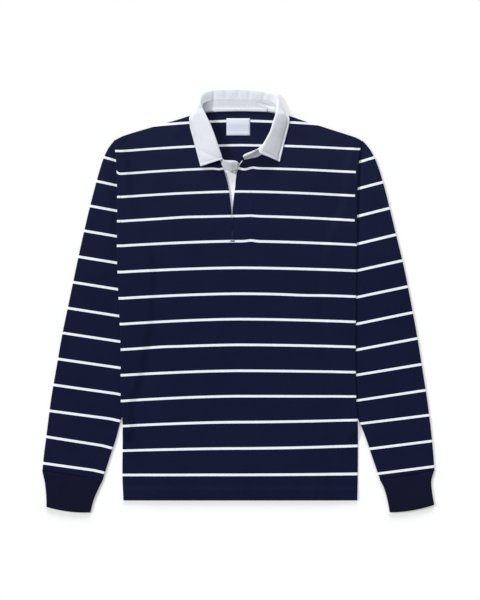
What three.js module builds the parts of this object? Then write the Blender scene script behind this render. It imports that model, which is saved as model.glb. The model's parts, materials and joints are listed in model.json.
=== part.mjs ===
// Rugby shirt laid flat on its back: striped jersey body and sleeves, white twill collar
// and placket, rib cuffs. Millimetres, +Z up. The shirt lies on z = 0 with its hem
// towards -Y and its collar towards +Y; +X is to the right for someone looking down on it.
// The origin is under the middle of the laid-out shirt.
import * as THREE from 'three';

// Cloth walls and clearances
const JERSEY = 1.4;
const TWILL = 1.5;
const THIN_TWILL = 1.1;
const RIB_KNIT = 1.6;
const SEAM_GAP = 0.3;

// How the layers stack
const SLEEVE_TUCKED = 3.6;
const SLEEVE_PLUMP = 5.2;
const SLEEVE_EDGE = 4.4;
const BODY_GAP = 3.2;
const SIDE_GAP = 0.4;
const SHOULDER_GAP = 0.6;
const FALL_TUCKED = 1.6;
const OVER_SLEEVE = SLEEVE_TUCKED + SEAM_GAP;
const OVER_FALL = FALL_TUCKED + SEAM_GAP;

// Body outline: the side edges at heights up the shirt, hem first
const bodySides = [
  { y: -369, left: -213, right: 220 },
  { y: -322, left: -215, right: 221 },
  { y: -229, left: -214.5, right: 221 },
  { y: -183, left: -218, right: 218 },
  { y: -91, left: -218, right: 217 },
  { y: 2, left: -222, right: 217.5 },
  { y: 94, left: -225, right: 219 },
  { y: 192, left: -224.5, right: 220 },
  { y: 250, left: -226, right: 222.5 },
  { y: 297, left: -230, right: 227 },
];

// Shoulder line: its height at distances from the collar's centre line
const shoulderLine = [
  { x: 0, y: 351 },
  { x: 50, y: 349 },
  { x: 67, y: 346.5 },
  { x: 84, y: 339.2 },
  { x: 94, y: 336 },
  { x: 120, y: 332 },
  { x: 148, y: 324.5 },
  { x: 176, y: 318 },
  { x: 200, y: 311 },
  { x: 216, y: 305.5 },
  { x: 233, y: 297 },
];
const COLLAR_CENTRE = 2.8;
const SHOULDER_TIP_Y = 297;
const BACK_NECK_Y = 351;

// Sleeve folds: the outer fold shows, the inner one is tucked under the body above y = -222
const sleeveFolds = [
  { y: -330, leftOuter: -364.5, leftInner: -251, rightInner: 262, rightOuter: 364 },
  { y: -287, leftOuter: -360.5, leftInner: -237.5, rightInner: 247, rightOuter: 361 },
  { y: -254, leftOuter: -356.3, leftInner: -226.5, rightInner: 236, rightOuter: 358 },
  { y: -222, leftOuter: -352.3, leftInner: -218, rightInner: 223, rightOuter: 354.5 },
  { y: -180, leftOuter: -346.8, leftInner: -203, rightInner: 204, rightOuter: 349 },
  { y: -120, leftOuter: -336.5, leftInner: -186, rightInner: 186, rightOuter: 339.7 },
  { y: -60, leftOuter: -326, leftInner: -175, rightInner: 174, rightOuter: 330 },
  { y: 0, leftOuter: -313.5, leftInner: -169, rightInner: 168, rightOuter: 318.9 },
  { y: 60, leftOuter: -301, leftInner: -168, rightInner: 167, rightOuter: 307 },
  { y: 120, leftOuter: -288, leftInner: -180, rightInner: 177, rightOuter: 292.5 },
  { y: 180, leftOuter: -273.8, leftInner: -206, rightInner: 202, rightOuter: 278 },
  { y: 222, leftOuter: -262.7, leftInner: -210, rightInner: 206, rightOuter: 267 },
  { y: 257, leftOuter: -252.5, leftInner: -214, rightInner: 210, rightOuter: 255.5 },
  { y: 279, leftOuter: -243.3, leftInner: -219, rightInner: 215, rightOuter: 244.5 },
  { y: 290, leftOuter: -235.9, leftInner: -223, rightInner: 219, rightOuter: 236 },
  { y: 297, leftOuter: -230, leftInner: -227, rightInner: 223, rightOuter: 229 },
];

// Rings of a sleeve: height of the outer fold and how much lower the inner fold lies
const sleeveRings = [
  { y: -313.5, drop: 17 },
  { y: -290, drop: 19 },
  { y: -262, drop: 20 },
  { y: -235, drop: 20 },
  { y: -205, drop: 20 },
  { y: -175, drop: 20 },
  { y: -140, drop: 21 },
  { y: -105, drop: 21 },
  { y: -70, drop: 22 },
  { y: -35, drop: 22 },
  { y: 0, drop: 22 },
  { y: 35, drop: 22 },
  { y: 70, drop: 22 },
  { y: 105, drop: 22 },
  { y: 140, drop: 22 },
  { y: 172, drop: 22 },
  { y: 202, drop: 21 },
  { y: 228, drop: 19 },
  { y: 250, drop: 16 },
  { y: 268, drop: 13 },
  { y: 281, drop: 10 },
  { y: 290, drop: 7 },
  { y: 295, drop: 4 },
];
const UNDERARM_Y = 120;
const TUCK_STARTS_Y = -222;
const TUCK_EASE = 4;
const BODY_EDGE_OVERLAP = 3;
const LEAST_FOLD_WIDTHS = 3;
const FREE_EDGE_SHARE = 0.75;
const FREE_EDGE_DIP = 0.2;
const SMALL_RINGS = 4;
const FOLD_INSET = 0.4;

// Places across the part of a sleeve that shows, and how full the sleeve is there
const sleeveFill = [
  { share: 0.3, fullness: 0.9 },
  { share: 0.55, fullness: 1 },
  { share: 0.8, fullness: 0.6 },
];

// Cuff outlines, from the seam to the opening
const leftCuffRows = [
  { outerX: -362, outerY: -314, innerX: -251, innerY: -331 },
  { outerX: -357, outerY: -336, innerX: -258.5, innerY: -346 },
  { outerX: -356, outerY: -360, innerX: -268, innerY: -368 },
  { outerX: -355.5, outerY: -381, innerX: -274, innerY: -391 },
];
const rightCuffRows = [
  { outerX: 362, outerY: -314, innerX: 261.5, innerY: -331 },
  { outerX: 357, outerY: -333, innerX: 269, innerY: -345 },
  { outerX: 359, outerY: -357, innerX: 275.5, innerY: -367 },
  { outerX: 362.5, outerY: -377, innerX: 280, innerY: -391 },
];
const CUFF_HEIGHT = 5.6;
const CUFF_BOW = 3.5;
const CUFF_FLATNESS = 12;
const CUFF_ROUNDNESS = 1 / 4;
const CUFF_INSET_POWER = 15;
const CUFF_INSET = 0.6;
const RIBS_ACROSS = 22;
const RIB_RAISE = 0.45;

// Rows of the front and back: height at the side edge, at the back's centre and along
// the front opening, which runs down the neckline into the slit of the placket
const SLIT_X = -12;
const bodyRows = [
  { side: -369, back: -369, leftX: SLIT_X, leftY: -369, rightX: SLIT_X, rightY: -369 },
  { side: -335, back: -335, leftX: SLIT_X, leftY: -335, rightX: SLIT_X, rightY: -335 },
  { side: -300, back: -300, leftX: SLIT_X, leftY: -300, rightX: SLIT_X, rightY: -300 },
  { side: -264, back: -262, leftX: SLIT_X, leftY: -262, rightX: SLIT_X, rightY: -262 },
  { side: -240, back: -232, leftX: SLIT_X, leftY: -232, rightX: SLIT_X, rightY: -232 },
  { side: -200, back: -192, leftX: SLIT_X, leftY: -192, rightX: SLIT_X, rightY: -192 },
  { side: -160, back: -151, leftX: SLIT_X, leftY: -151, rightX: SLIT_X, rightY: -151 },
  { side: -118, back: -109, leftX: SLIT_X, leftY: -109, rightX: SLIT_X, rightY: -109 },
  { side: -76, back: -67, leftX: SLIT_X, leftY: -67, rightX: SLIT_X, rightY: -67 },
  { side: -34, back: -25, leftX: SLIT_X, leftY: -25, rightX: SLIT_X, rightY: -25 },
  { side: 8, back: 17, leftX: SLIT_X, leftY: 18, rightX: SLIT_X, rightY: 18 },
  { side: 48, back: 58, leftX: SLIT_X, leftY: 62, rightX: SLIT_X, rightY: 62 },
  { side: 84, back: 98, leftX: SLIT_X, leftY: 108, rightX: SLIT_X, rightY: 108 },
  { side: 116, back: 136, leftX: SLIT_X, leftY: 153, rightX: SLIT_X, rightY: 153 },
  { side: 142, back: 168, leftX: -14.3, leftY: 180, rightX: -9.7, rightY: 182 },
  { side: 166, back: 198, leftX: -18.6, leftY: 211, rightX: -6.3, rightY: 210 },
  { side: 188, back: 226, leftX: -27, leftY: 241, rightX: -3, rightY: 236 },
  { side: 209, back: 251, leftX: -37.5, leftY: 262, rightX: 9, rightY: 261 },
  { side: 229, back: 273, leftX: -47.5, leftY: 284, rightX: 34, rightY: 267 },
  { side: 248, back: 293, leftX: -57, leftY: 305, rightX: 53, rightY: 284 },
  { side: 266, back: 312, leftX: -64, leftY: 324, rightX: 65, rightY: 307 },
  { side: 282, back: 331.5, leftX: -67, leftY: 336, rightX: 71.5, rightY: 329 },
  { side: 297, back: 351, leftX: -64.2, leftY: 346.5, rightX: 69.8, rightY: 346.5 },
];
const PANEL_COLUMNS = 5;
const LEAST_COVERED = 10;
const LIFT_TOP_OF_RAMP = 1;
const LIFT_RAMP = 14;
const SIDE_LIFT_FROM_Y = -245;
const FALL_REACH = 134;
const FALL_REACH_FADE = 22;

// The air between front and back: rows down from the shoulder, rows up from the hem, and
// places inward from a side edge
const SHOULDER_GAPS = [SHOULDER_GAP, 1.5, 2.5];
const HEM_GAPS = [1.2, 2.4];
const SIDE_GAPS = [SIDE_GAP, 0.9, 1.4, 2.6];

// Collar sections: x is measured from the collar's centre line. seam is where the stand is
// sewn on, top is the stand's upper edge, crest the top of the roll, turn the outermost
// point or the middle of the leaf, edge the free edge of the fall
const collarBack = [
  {
    seamX: 0, seamY: 352.3, topX: 0, topY: 371, topZ: 8.4,
    crestX: 0, crestY: 385, crestZ: 9, turnX: 0, turnY: 392.7, edgeX: 0, edgeY: 333,
  },
  {
    seamX: 30, seamY: 351.8, topX: 33.5, topY: 371, topZ: 8.6,
    crestX: 34, crestY: 384.5, crestZ: 9.2, turnX: 35, turnY: 392, edgeX: 22, edgeY: 333,
  },
  {
    seamX: 51, seamY: 351, topX: 56, topY: 369.5, topZ: 9.6,
    crestX: 59, crestY: 383, crestZ: 10.2, turnX: 62.5, turnY: 389.7, edgeX: 40, edgeY: 333,
  },
  {
    seamX: 61, seamY: 350, topX: 66, topY: 364.5, topZ: 12,
    crestX: 70.5, crestY: 377.5, crestZ: 12.6, turnX: 75, turnY: 382, edgeX: 54, edgeY: 332.5,
  },
  {
    seamX: 67.5, seamY: 347.5, topX: 69.5, topY: 358.5, topZ: 14.6,
    crestX: 74, crestY: 369.5, crestZ: 15.4, turnX: 81, turnY: 366, edgeX: 68, edgeY: 331,
  },
  {
    seamX: 70, seamY: 342, topX: 68.5, topY: 352.5, topZ: 16,
    crestX: 72.5, crestY: 361, crestZ: 17.6, turnX: 86.5, turnY: 353, edgeX: 83, edgeY: 329,
  },
];

// Where the fall's free edge comes round the shoulder line from under the shirt
const collarTurn = [
  {
    seamX: 71, seamY: 337, topX: 66.6, topY: 348, topZ: 16.8,
    crestX: 70.4, crestY: 355.5, crestZ: 18.6, turnX: 87.4, turnY: 348, turnZ: 9.5,
    edgeX: 90, edgeY: 340.2, edgeZ: 0.85,
  },
  {
    seamX: 71, seamY: 332, topX: 64.4, topY: 344, topZ: 17.3,
    crestX: 67.6, crestY: 350, crestZ: 19.4, turnX: 83, turnY: 345.5, turnZ: 14.2,
    edgeX: 93.2, edgeY: 340, edgeZ: 4,
  },
  {
    seamX: 70, seamY: 327, topX: 61.6, topY: 339, topZ: 17.6,
    crestX: 64.4, crestY: 343.5, crestZ: 20.1, turnX: 79, turnY: 340, turnZ: 15.4,
    edgeX: 93.6, edgeY: 335.5, edgeZ: 8.4,
  },
];

// The two leaves lie on the front; the stand alone runs on past each leaf's end
const collarLeft = [
  {
    seamX: 67, seamY: 319, topX: 56.6, topY: 330, topZ: 18, crestX: 59, crestY: 331,
    crestZ: 20.8, edgeX: 92, edgeY: 320,
  },
  {
    seamX: 60.5, seamY: 301, topX: 48.9, topY: 311, topZ: 18.3, crestX: 51.2, crestY: 311.5,
    crestZ: 21, edgeX: 87.2, edgeY: 302.5,
  },
  {
    seamX: 51.5, seamY: 282, topX: 41.1, topY: 288.5, topZ: 18, crestX: 43.3, crestY: 289,
    crestZ: 20.8, edgeX: 82.3, edgeY: 284,
  },
  {
    seamX: 42, seamY: 262, topX: 35.6, topY: 271.5, topZ: 17.2, crestX: 37.8, crestY: 272,
    crestZ: 20, edgeX: 77.2, edgeY: 265,
  },
  {
    seamX: 31.5, seamY: 245, topX: 32.4, topY: 261, topZ: 16.4, crestX: 34.6, crestY: 261,
    crestZ: 19.2, edgeX: 73.1, edgeY: 249,
  },
];
const collarRight = [
  {
    seamX: 70.5, seamY: 320, topX: 62.6, topY: 332, topZ: 18, crestX: 64.9, crestY: 333,
    crestZ: 20.8, edgeX: 90, edgeY: 325,
  },
  {
    seamX: 65, seamY: 304, topX: 56.2, topY: 314, topZ: 18.3, crestX: 58.5, crestY: 314.5,
    crestZ: 21, edgeX: 85.6, edgeY: 307,
  },
  {
    seamX: 56.5, seamY: 289, topX: 48.4, topY: 299, topZ: 18, crestX: 50.7, crestY: 299.5,
    crestZ: 20.8, edgeX: 81.2, edgeY: 290,
  },
  {
    seamX: 47, seamY: 276.5, topX: 41.6, topY: 288, topZ: 17.6, crestX: 43.9, crestY: 286,
    crestZ: 20.2, edgeX: 77.2, edgeY: 273.5,
  },
  {
    seamX: 33.5, seamY: 267.5, topX: 34.4, topY: 281.5, topZ: 17.2, crestX: 36.6, crestY: 273,
    crestZ: 19.2, edgeX: 73.4, edgeY: 257.5,
  },
];
const standEndLeft = [
  { seamX: 18.5, seamY: 239, seamZ: 3.9, topX: 17.5, topY: 258.4, topZ: 14.2 },
  { seamX: 7.4, seamY: 238.2, seamZ: 3.9, topX: 5.4, topY: 257.4, topZ: 12.4 },
];
const standEndRight = [
  { seamX: 19.5, seamY: 264, topX: 21.8, topY: 275.8, topZ: 16.6 },
  { seamX: 7.4, seamY: 262.2, topX: 7, topY: 269.5, topZ: 15.2 },
];
const FALL_UNDER_Z = 0.8;
const LEAF_CROWN = 1.1;
const STAND_BACK_Z = 2.7;
const BACK_SECTIONS_ON_EDGE = 3;
const NEAR_REACH = 24;
const SEAM_ALLOWANCE = 0.7;
const EDGE_LOFT = 0.2;
const LEAF_MIDDLE = 0.45;
const TURN_HEIGHT = 0.48;
const BEYOND_UNDER = 0.16;
const BEYOND_ON_FRONT = 0.5;
const BEYOND_LOFT = 0.25;
const STAND_SAG = 0.5;
const STAND_CELLS = 3;
const FALL_CELLS = 9;
const FALL_START_FLAT = 0.15;
const FALL_START_UPRIGHT = 1.1;

// Placket, facing, label, tape and button
const PLACKET_BOTTOM_Y = 111;
const PLACKET_TOP_Y = 247;
const PLACKET_RIGHT_X = 22;
const PLACKET_UNDER_LAP = 6;
const FACING_BOTTOM_Y = 186;
const FACING_TOP_Y = 260;
const FACING_WIDTH = 12;
const FACING_SHOWS = 1.1;
const LABEL = { left: -22.2, right: 21.3, bottom: 306.5, top: 338, thickness: 1 };
const TAPE = { foot: -0.06, head: 0.24, thickness: 1, loft: 0.25 };
const BUTTON = {
  radius: 5.3, foot: 0.8, waistHeight: 0.4, shoulder: 0.93, rimInner: 0.7, dish: 0.6,
  thickness: 2.4, rim: 0.6, sides: 20, upStand: 0.22, proud: 1.3,
};
const SLIT_TABLE = { from: 100, to: 285 };
const STRIP_SHARES = [0, 1 / 3, 2 / 3, 1];
const UNDER_PLACKET_CELLS = 8;
const FACING_CELLS = 6;

// Soft folds of the upper layers: a ridge or, with a negative rise, a trough along a line
const softFolds = [
  { fromX: -205, fromY: 150, toX: -95, toY: 215, width: 26, rise: -0.6 },
  { fromX: 205, fromY: 150, toX: 105, toY: 205, width: 26, rise: -0.6 },
  { fromX: -150, fromY: -60, toX: -110, toY: 90, width: 30, rise: 0.5 },
  { fromX: 140, fromY: -120, toX: 110, toY: 60, width: 30, rise: 0.5 },
  { fromX: -60, fromY: -330, toX: -40, toY: -180, width: 28, rise: -0.5 },
  { fromX: 90, fromY: -340, toX: 120, toY: -200, width: 28, rise: 0.5 },
  { fromX: -330, fromY: -190, toX: -255, toY: -150, width: 18, rise: -0.7 },
  { fromX: 325, fromY: -120, toX: 250, toY: -70, width: 18, rise: -0.7 },
  { fromX: -300, fromY: 20, toX: -240, toY: 90, width: 20, rise: 0.6 },
  { fromX: 330, fromY: -230, toX: 262, toY: -200, width: 18, rise: 0.6 },
];

// Colours as seen in daylight
const NAVY = 0x1b2139;
const RIB_NAVY = 0x181a2e;
const WHITE = 0xe9ecf5;
const RUBBER = 0xc9cbc6;

/** Slope of a table's column at one row, from the rows beside it. */
function slopeAt(rows, key, field, i) {
  const before = rows[Math.max(i - 1, 0)];
  const after = rows[Math.min(i + 1, rows.length - 1)];
  return (after[field] - before[field]) / (after[key] - before[key]);
}

/** Reads a column of a table smoothly at any value of its key column. */
function read(rows, key, field, at) {
  let i = 0;
  while (i < rows.length - 2 && rows[i + 1][key] < at) i += 1;
  const low = rows[i];
  const high = rows[i + 1];
  const span = high[key] - low[key];
  const t = THREE.MathUtils.clamp((at - low[key]) / span, 0, 1);
  const t2 = t * t;
  const t3 = t2 * t;
  const fromLow = (2 * t3 - 3 * t2 + 1) * low[field] + (3 * t2 - 2 * t3) * high[field];
  const lowSlope = (t3 - 2 * t2 + t) * span * slopeAt(rows, key, field, i);
  const highSlope = (t3 - t2) * span * slopeAt(rows, key, field, i + 1);
  return fromLow + lowSlope + highSlope;
}

function mix(a, b, t) {
  return a + (b - a) * t;
}

/** Height that the soft folds add at a point of an upper layer. */
function foldRise(x, y) {
  const here = new THREE.Vector3(x, y, 0);
  const nearest = new THREE.Vector3();
  let rise = 0;
  softFolds.forEach((fold) => {
    const line = new THREE.Line3(
      new THREE.Vector3(fold.fromX, fold.fromY, 0),
      new THREE.Vector3(fold.toX, fold.toY, 0),
    );
    line.closestPointToPoint(here, true, nearest);
    const away = here.distanceTo(nearest) / fold.width;
    rise += fold.rise * Math.exp(-away * away);
  });
  return rise;
}

/**
 * One closed wall of cloth from patches of corners. Each corner holds its point on the
 * outside and on the inside of the cloth; corners at the same place are shared, and every
 * free border gets a rim.
 */
function clothSolid(patches) {
  const corners = [];
  const known = new Map();
  const faces = [];
  function indexOf(corner) {
    const name = corner.out.toArray().map((value) => Math.round(value * 1000)).join(' ');
    if (!known.has(name)) {
      known.set(name, corners.length);
      corners.push(corner);
    }
    return known.get(name);
  }
  patches.forEach((rows) => {
    const ids = rows.map((row) => row.map(indexOf));
    for (let i = 0; i < ids.length - 1; i += 1) {
      for (let j = 0; j < ids[i].length - 1; j += 1) {
        faces.push([ids[i][j], ids[i][j + 1], ids[i + 1][j + 1]]);
        faces.push([ids[i][j], ids[i + 1][j + 1], ids[i + 1][j]]);
      }
    }
  });
  const whole = faces.filter(([a, b, c]) => a !== b && b !== c && c !== a);
  const inside = corners.length;
  const triangles = [];
  const edges = new Set();
  whole.forEach(([a, b, c]) => {
    triangles.push([a, b, c], [inside + a, inside + c, inside + b]);
    [[a, b], [b, c], [c, a]].forEach(([from, to]) => edges.add(`${from} ${to}`));
  });
  edges.forEach((edge) => {
    const [from, to] = edge.split(' ').map(Number);
    if (!edges.has(`${to} ${from}`)) {
      triangles.push([to, from, inside + from], [to, inside + from, inside + to]);
    }
  });
  const points = [...corners.map((corner) => corner.out), ...corners.map((corner) => corner.in)];
  const volume = triangles.reduce((sum, [a, b, c]) => {
    const across = new THREE.Vector3().crossVectors(points[b], points[c]);
    return sum + points[a].dot(across);
  }, 0);
  const turned = volume < 0 ? triangles.map(([a, b, c]) => [a, c, b]) : triangles;
  const geometry = new THREE.BufferGeometry().setFromPoints(points);
  geometry.setIndex(turned.flat());
  geometry.computeVertexNormals();
  return geometry;
}

/** Gives a grid of middle points a wall of even thickness, never below the floor. */
function thicken(grid, thickness) {
  const lastRow = grid.length - 1;
  const lastColumn = grid[0].length - 1;
  return grid.map((row, i) => row.map((point, j) => {
    const up = grid[Math.min(i + 1, lastRow)][j];
    const down = grid[Math.max(i - 1, 0)][j];
    const next = row[Math.min(j + 1, lastColumn)];
    const previous = row[Math.max(j - 1, 0)];
    const normal = new THREE.Vector3().crossVectors(
      new THREE.Vector3().subVectors(next, previous),
      new THREE.Vector3().subVectors(up, down),
    ).normalize();
    const corner = {
      out: point.clone().addScaledVector(normal, thickness / 2),
      in: point.clone().addScaledVector(normal, -thickness / 2),
    };
    corner.out.z = Math.max(corner.out.z, 0);
    corner.in.z = Math.max(corner.in.z, 0);
    return corner;
  }));
}

/** A corner of a level layer of cloth whose lower face is at the given height. */
function levelCorner(x, y, z, thickness) {
  return { out: new THREE.Vector3(x, y, z + thickness), in: new THREE.Vector3(x, y, z) };
}

/** Places across half a body panel, from the side edge over the tucked sleeve to the middle. */
function panelColumns(sideX, foldX, middleX) {
  const inward = Math.sign(middleX - sideX);
  const covered = Math.max(Math.abs(foldX - sideX), LEAST_COVERED);
  const rampTop = sideX + inward * (covered + LIFT_TOP_OF_RAMP);
  const rampFoot = rampTop + inward * LIFT_RAMP;
  const places = [sideX, (sideX + rampTop) / 2, rampTop];
  for (let k = 0; k <= PANEL_COLUMNS; k += 1) {
    places.push(mix(rampFoot, middleX, k / PANEL_COLUMNS));
  }
  return places;
}

/** How far up the slope of the shoulder a place lies: 0 at the tip, 1 at the neck. */
function shoulderShare(x) {
  const height = read(shoulderLine, 'x', 'y', Math.abs(x - COLLAR_CENTRE));
  return (height - SHOULDER_TIP_Y) / (BACK_NECK_Y - SHOULDER_TIP_Y);
}

/** What lies under the back panel: a tucked sleeve near the side, the collar at the neck. */
function liftUnderBack(rowIndex, columnIndex, x) {
  const row = bodyRows[rowIndex];
  const overSleeve = columnIndex <= 2 && row.side > SIDE_LIFT_FROM_Y ? OVER_SLEEVE : 0;
  const fromCentre = Math.abs(x - COLLAR_CENTRE);
  const nearNeck = THREE.MathUtils.clamp((FALL_REACH - fromCentre) / FALL_REACH_FADE, 0, 1);
  const overFall = rowIndex >= bodyRows.length - 2 ? OVER_FALL * nearNeck : 0;
  return Math.max(overSleeve, overFall);
}

/** The air between back and front: closed at the seams, a little loft inside. */
function gapInBody(rowIndex, columnIndex) {
  const fromTop = bodyRows.length - 1 - rowIndex;
  const rowGap = SHOULDER_GAPS[fromTop] ?? BODY_GAP;
  const hemGap = HEM_GAPS[rowIndex] ?? BODY_GAP;
  const sideGap = SIDE_GAPS[columnIndex] ?? BODY_GAP;
  return Math.min(rowGap, hemGap, sideGap);
}

/** One row of half a panel as plain places, from the side edge to the middle. */
function panelRow(rowIndex, side, middleX, middleY) {
  const row = bodyRows[rowIndex];
  const sideX = read(bodySides, 'y', side, row.side);
  const foldX = read(sleeveFolds, 'y', `${side}Inner`, row.side);
  const places = panelColumns(sideX, foldX, middleX);
  const sideShare = shoulderShare(sideX);
  const middleShare = shoulderShare(middleX);
  return places.map((x) => {
    const share = (shoulderShare(x) - sideShare) / (middleShare - sideShare);
    return { x, y: mix(row.side, middleY, share) };
  });
}

function backPatch(side) {
  return bodyRows.map((row, i) => panelRow(i, side, SLIT_X, row.back).map(({ x, y }, j) => (
    levelCorner(x, y, liftUnderBack(i, j, x), JERSEY)
  )));
}

function frontPatch(side) {
  return bodyRows.map((row, i) => {
    const middleX = row[`${side}X`];
    const middleY = row[`${side}Y`];
    return panelRow(i, side, middleX, middleY).map(({ x, y }, j) => {
      const inside = j > 3 && j < PANEL_COLUMNS + 2 && i > 1;
      const rise = inside ? foldRise(x, y) : 0;
      const z = liftUnderBack(i, j, x) + JERSEY + gapInBody(i, j) + rise;
      return levelCorner(x, y, z, JERSEY);
    });
  });
}

function reversed(patch) {
  return patch.map((row) => [...row].reverse());
}

const backPatches = [backPatch('left'), reversed(backPatch('right'))];
const frontPatches = [frontPatch('left'), reversed(frontPatch('right'))];

/** Highest point of the front's cloth near a place. */
function frontTopNear(x, y) {
  const isNear = ({ out }) => Math.hypot(out.x - x, out.y - y) < NEAR_REACH;
  const near = frontPatches.flat(2).filter(isNear);
  return Math.max(...near.map(({ out }) => out.z), JERSEY + BODY_GAP + JERSEY);
}

/** Columns of a sleeve ring as shares of its width, with the height of the sleeve there. */
function ringColumns(outer, inner, side, ringIndex) {
  const width = outer.distanceTo(inner);
  const round = Math.min(SLEEVE_EDGE / 2, width / 5) / width;
  const tucked = inner.y > TUCK_STARTS_Y - TUCK_EASE;
  const bodyEdge = read(bodySides, 'y', side, mix(outer.y, inner.y, 0.5));
  const edgeX = bodyEdge + BODY_EDGE_OVERLAP * Math.sign(outer.x);
  const meets = (edgeX - outer.x) / (inner.x - outer.x);
  const least = LEAST_FOLD_WIDTHS * round;
  const edge = tucked ? THREE.MathUtils.clamp(meets, least, 1 - least) : FREE_EDGE_SHARE;
  const small = ringIndex >= sleeveRings.length - SMALL_RINGS;
  const plump = small ? SLEEVE_TUCKED : SLEEVE_PLUMP;
  const atFold = small ? SLEEVE_TUCKED : SLEEVE_EDGE;
  const atEdge = tucked ? SLEEVE_TUCKED : SLEEVE_PLUMP - FREE_EDGE_DIP;
  const atInner = tucked ? SLEEVE_TUCKED : SLEEVE_EDGE;
  return [
    { share: 0, height: atFold },
    { share: round, height: atFold },
    ...sleeveFill.map(({ share, fullness }) => (
      { share: mix(round, edge, share), height: mix(SLEEVE_TUCKED, plump, fullness) }
    )),
    { share: edge, height: atEdge },
    { share: mix(edge, 1 - round, 0.5), height: atEdge },
    { share: 1 - round, height: atInner },
    { share: 1, height: atInner },
  ];
}

/** Upper and lower layer of a sleeve: a flat tube, open at the cuff and along the armhole. */
function sleevePatches(side) {
  const upper = [];
  const lower = [];
  sleeveRings.forEach((ring, i) => {
    const innerY = ring.y - ring.drop;
    const outer = new THREE.Vector3(read(sleeveFolds, 'y', `${side}Outer`, ring.y), ring.y, 0);
    const inner = new THREE.Vector3(read(sleeveFolds, 'y', `${side}Inner`, innerY), innerY, 0);
    const across = new THREE.Vector3().subVectors(inner, outer).normalize();
    const columns = ringColumns(outer, inner, side, i);
    const open = innerY > UNDERARM_Y;
    const last = columns.length - 1;
    const foldCorner = (place, height, inward) => ({
      out: new THREE.Vector3(place.x, place.y, height / 2),
      in: new THREE.Vector3(place.x, place.y, height / 2).addScaledVector(across, inward * JERSEY),
    });
    const upperRow = [];
    const lowerRow = [];
    columns.forEach(({ share, height }, j) => {
      const place = new THREE.Vector3().lerpVectors(outer, inner, share);
      if (j === 0 || (j === last && !open)) {
        const corner = foldCorner(place, height, j === 0 ? 1 : -1);
        upperRow.push(corner);
        lowerRow.push(corner);
        return;
      }
      const shows = j > 1 && j < 5;
      const top = height + (shows ? foldRise(place.x, place.y) : 0);
      const insideShift = j === 1 || (j === last - 1 && !open) ? JERSEY * FOLD_INSET : 0;
      const shifted = place.clone().addScaledVector(across, j === 1 ? insideShift : -insideShift);
      upperRow.push({
        out: new THREE.Vector3(place.x, place.y, top),
        in: new THREE.Vector3(shifted.x, shifted.y, top - JERSEY),
      });
      lowerRow.push({
        out: new THREE.Vector3(place.x, place.y, 0),
        in: new THREE.Vector3(shifted.x, shifted.y, JERSEY),
      });
    });
    upper.push(upperRow);
    lower.push(lowerRow.reverse());
  });
  return [upper, lower];
}

/** A cuff: a flat tube of rib knit, ribs raised on the outside over a plain inside. */
function cuffPatches(rows) {
  const steps = RIBS_ACROSS * 2;
  const half = CUFF_HEIGHT / 2;
  const upper = [];
  const lower = [];
  rows.forEach((row, i) => {
    const outer = new THREE.Vector3(row.outerX, row.outerY, 0);
    const inner = new THREE.Vector3(row.innerX, row.innerY, 0);
    const across = new THREE.Vector3().subVectors(inner, outer).normalize();
    const bow = CUFF_BOW * (i / (rows.length - 1));
    const upperRow = [];
    const lowerRow = [];
    for (let k = 0; k <= steps; k += 1) {
      const share = k / steps;
      const fromMiddle = 2 * share - 1;
      const rise = (1 - Math.abs(fromMiddle) ** CUFF_FLATNESS) ** CUFF_ROUNDNESS;
      const place = new THREE.Vector3().lerpVectors(outer, inner, share);
      place.y -= bow * (1 - fromMiddle * fromMiddle);
      const rib = k % 2 === 0 ? 0 : RIB_RAISE;
      const wall = RIB_KNIT + (RIB_RAISE - rib);
      if (k === 0 || k === steps) {
        const corner = {
          out: new THREE.Vector3(place.x, place.y, half),
          in: new THREE.Vector3(place.x, place.y, half).addScaledVector(across, -fromMiddle * wall),
        };
        upperRow.push(corner);
        lowerRow.push(corner);
      } else {
        const inward = -(fromMiddle ** CUFF_INSET_POWER) * RIB_KNIT * CUFF_INSET;
        const inset = place.clone().addScaledVector(across, inward);
        const air = (half - RIB_KNIT - RIB_RAISE) * rise;
        upperRow.push({
          out: new THREE.Vector3(place.x, place.y, half + (half - rib) * rise),
          in: new THREE.Vector3(inset.x, inset.y, half + air),
        });
        lowerRow.push({
          out: new THREE.Vector3(place.x, place.y, half - (half - rib) * rise),
          in: new THREE.Vector3(inset.x, inset.y, half - air),
        });
      }
    }
    upper.push(upperRow);
    lower.push(lowerRow.reverse());
  });
  return [upper, lower];
}

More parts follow.
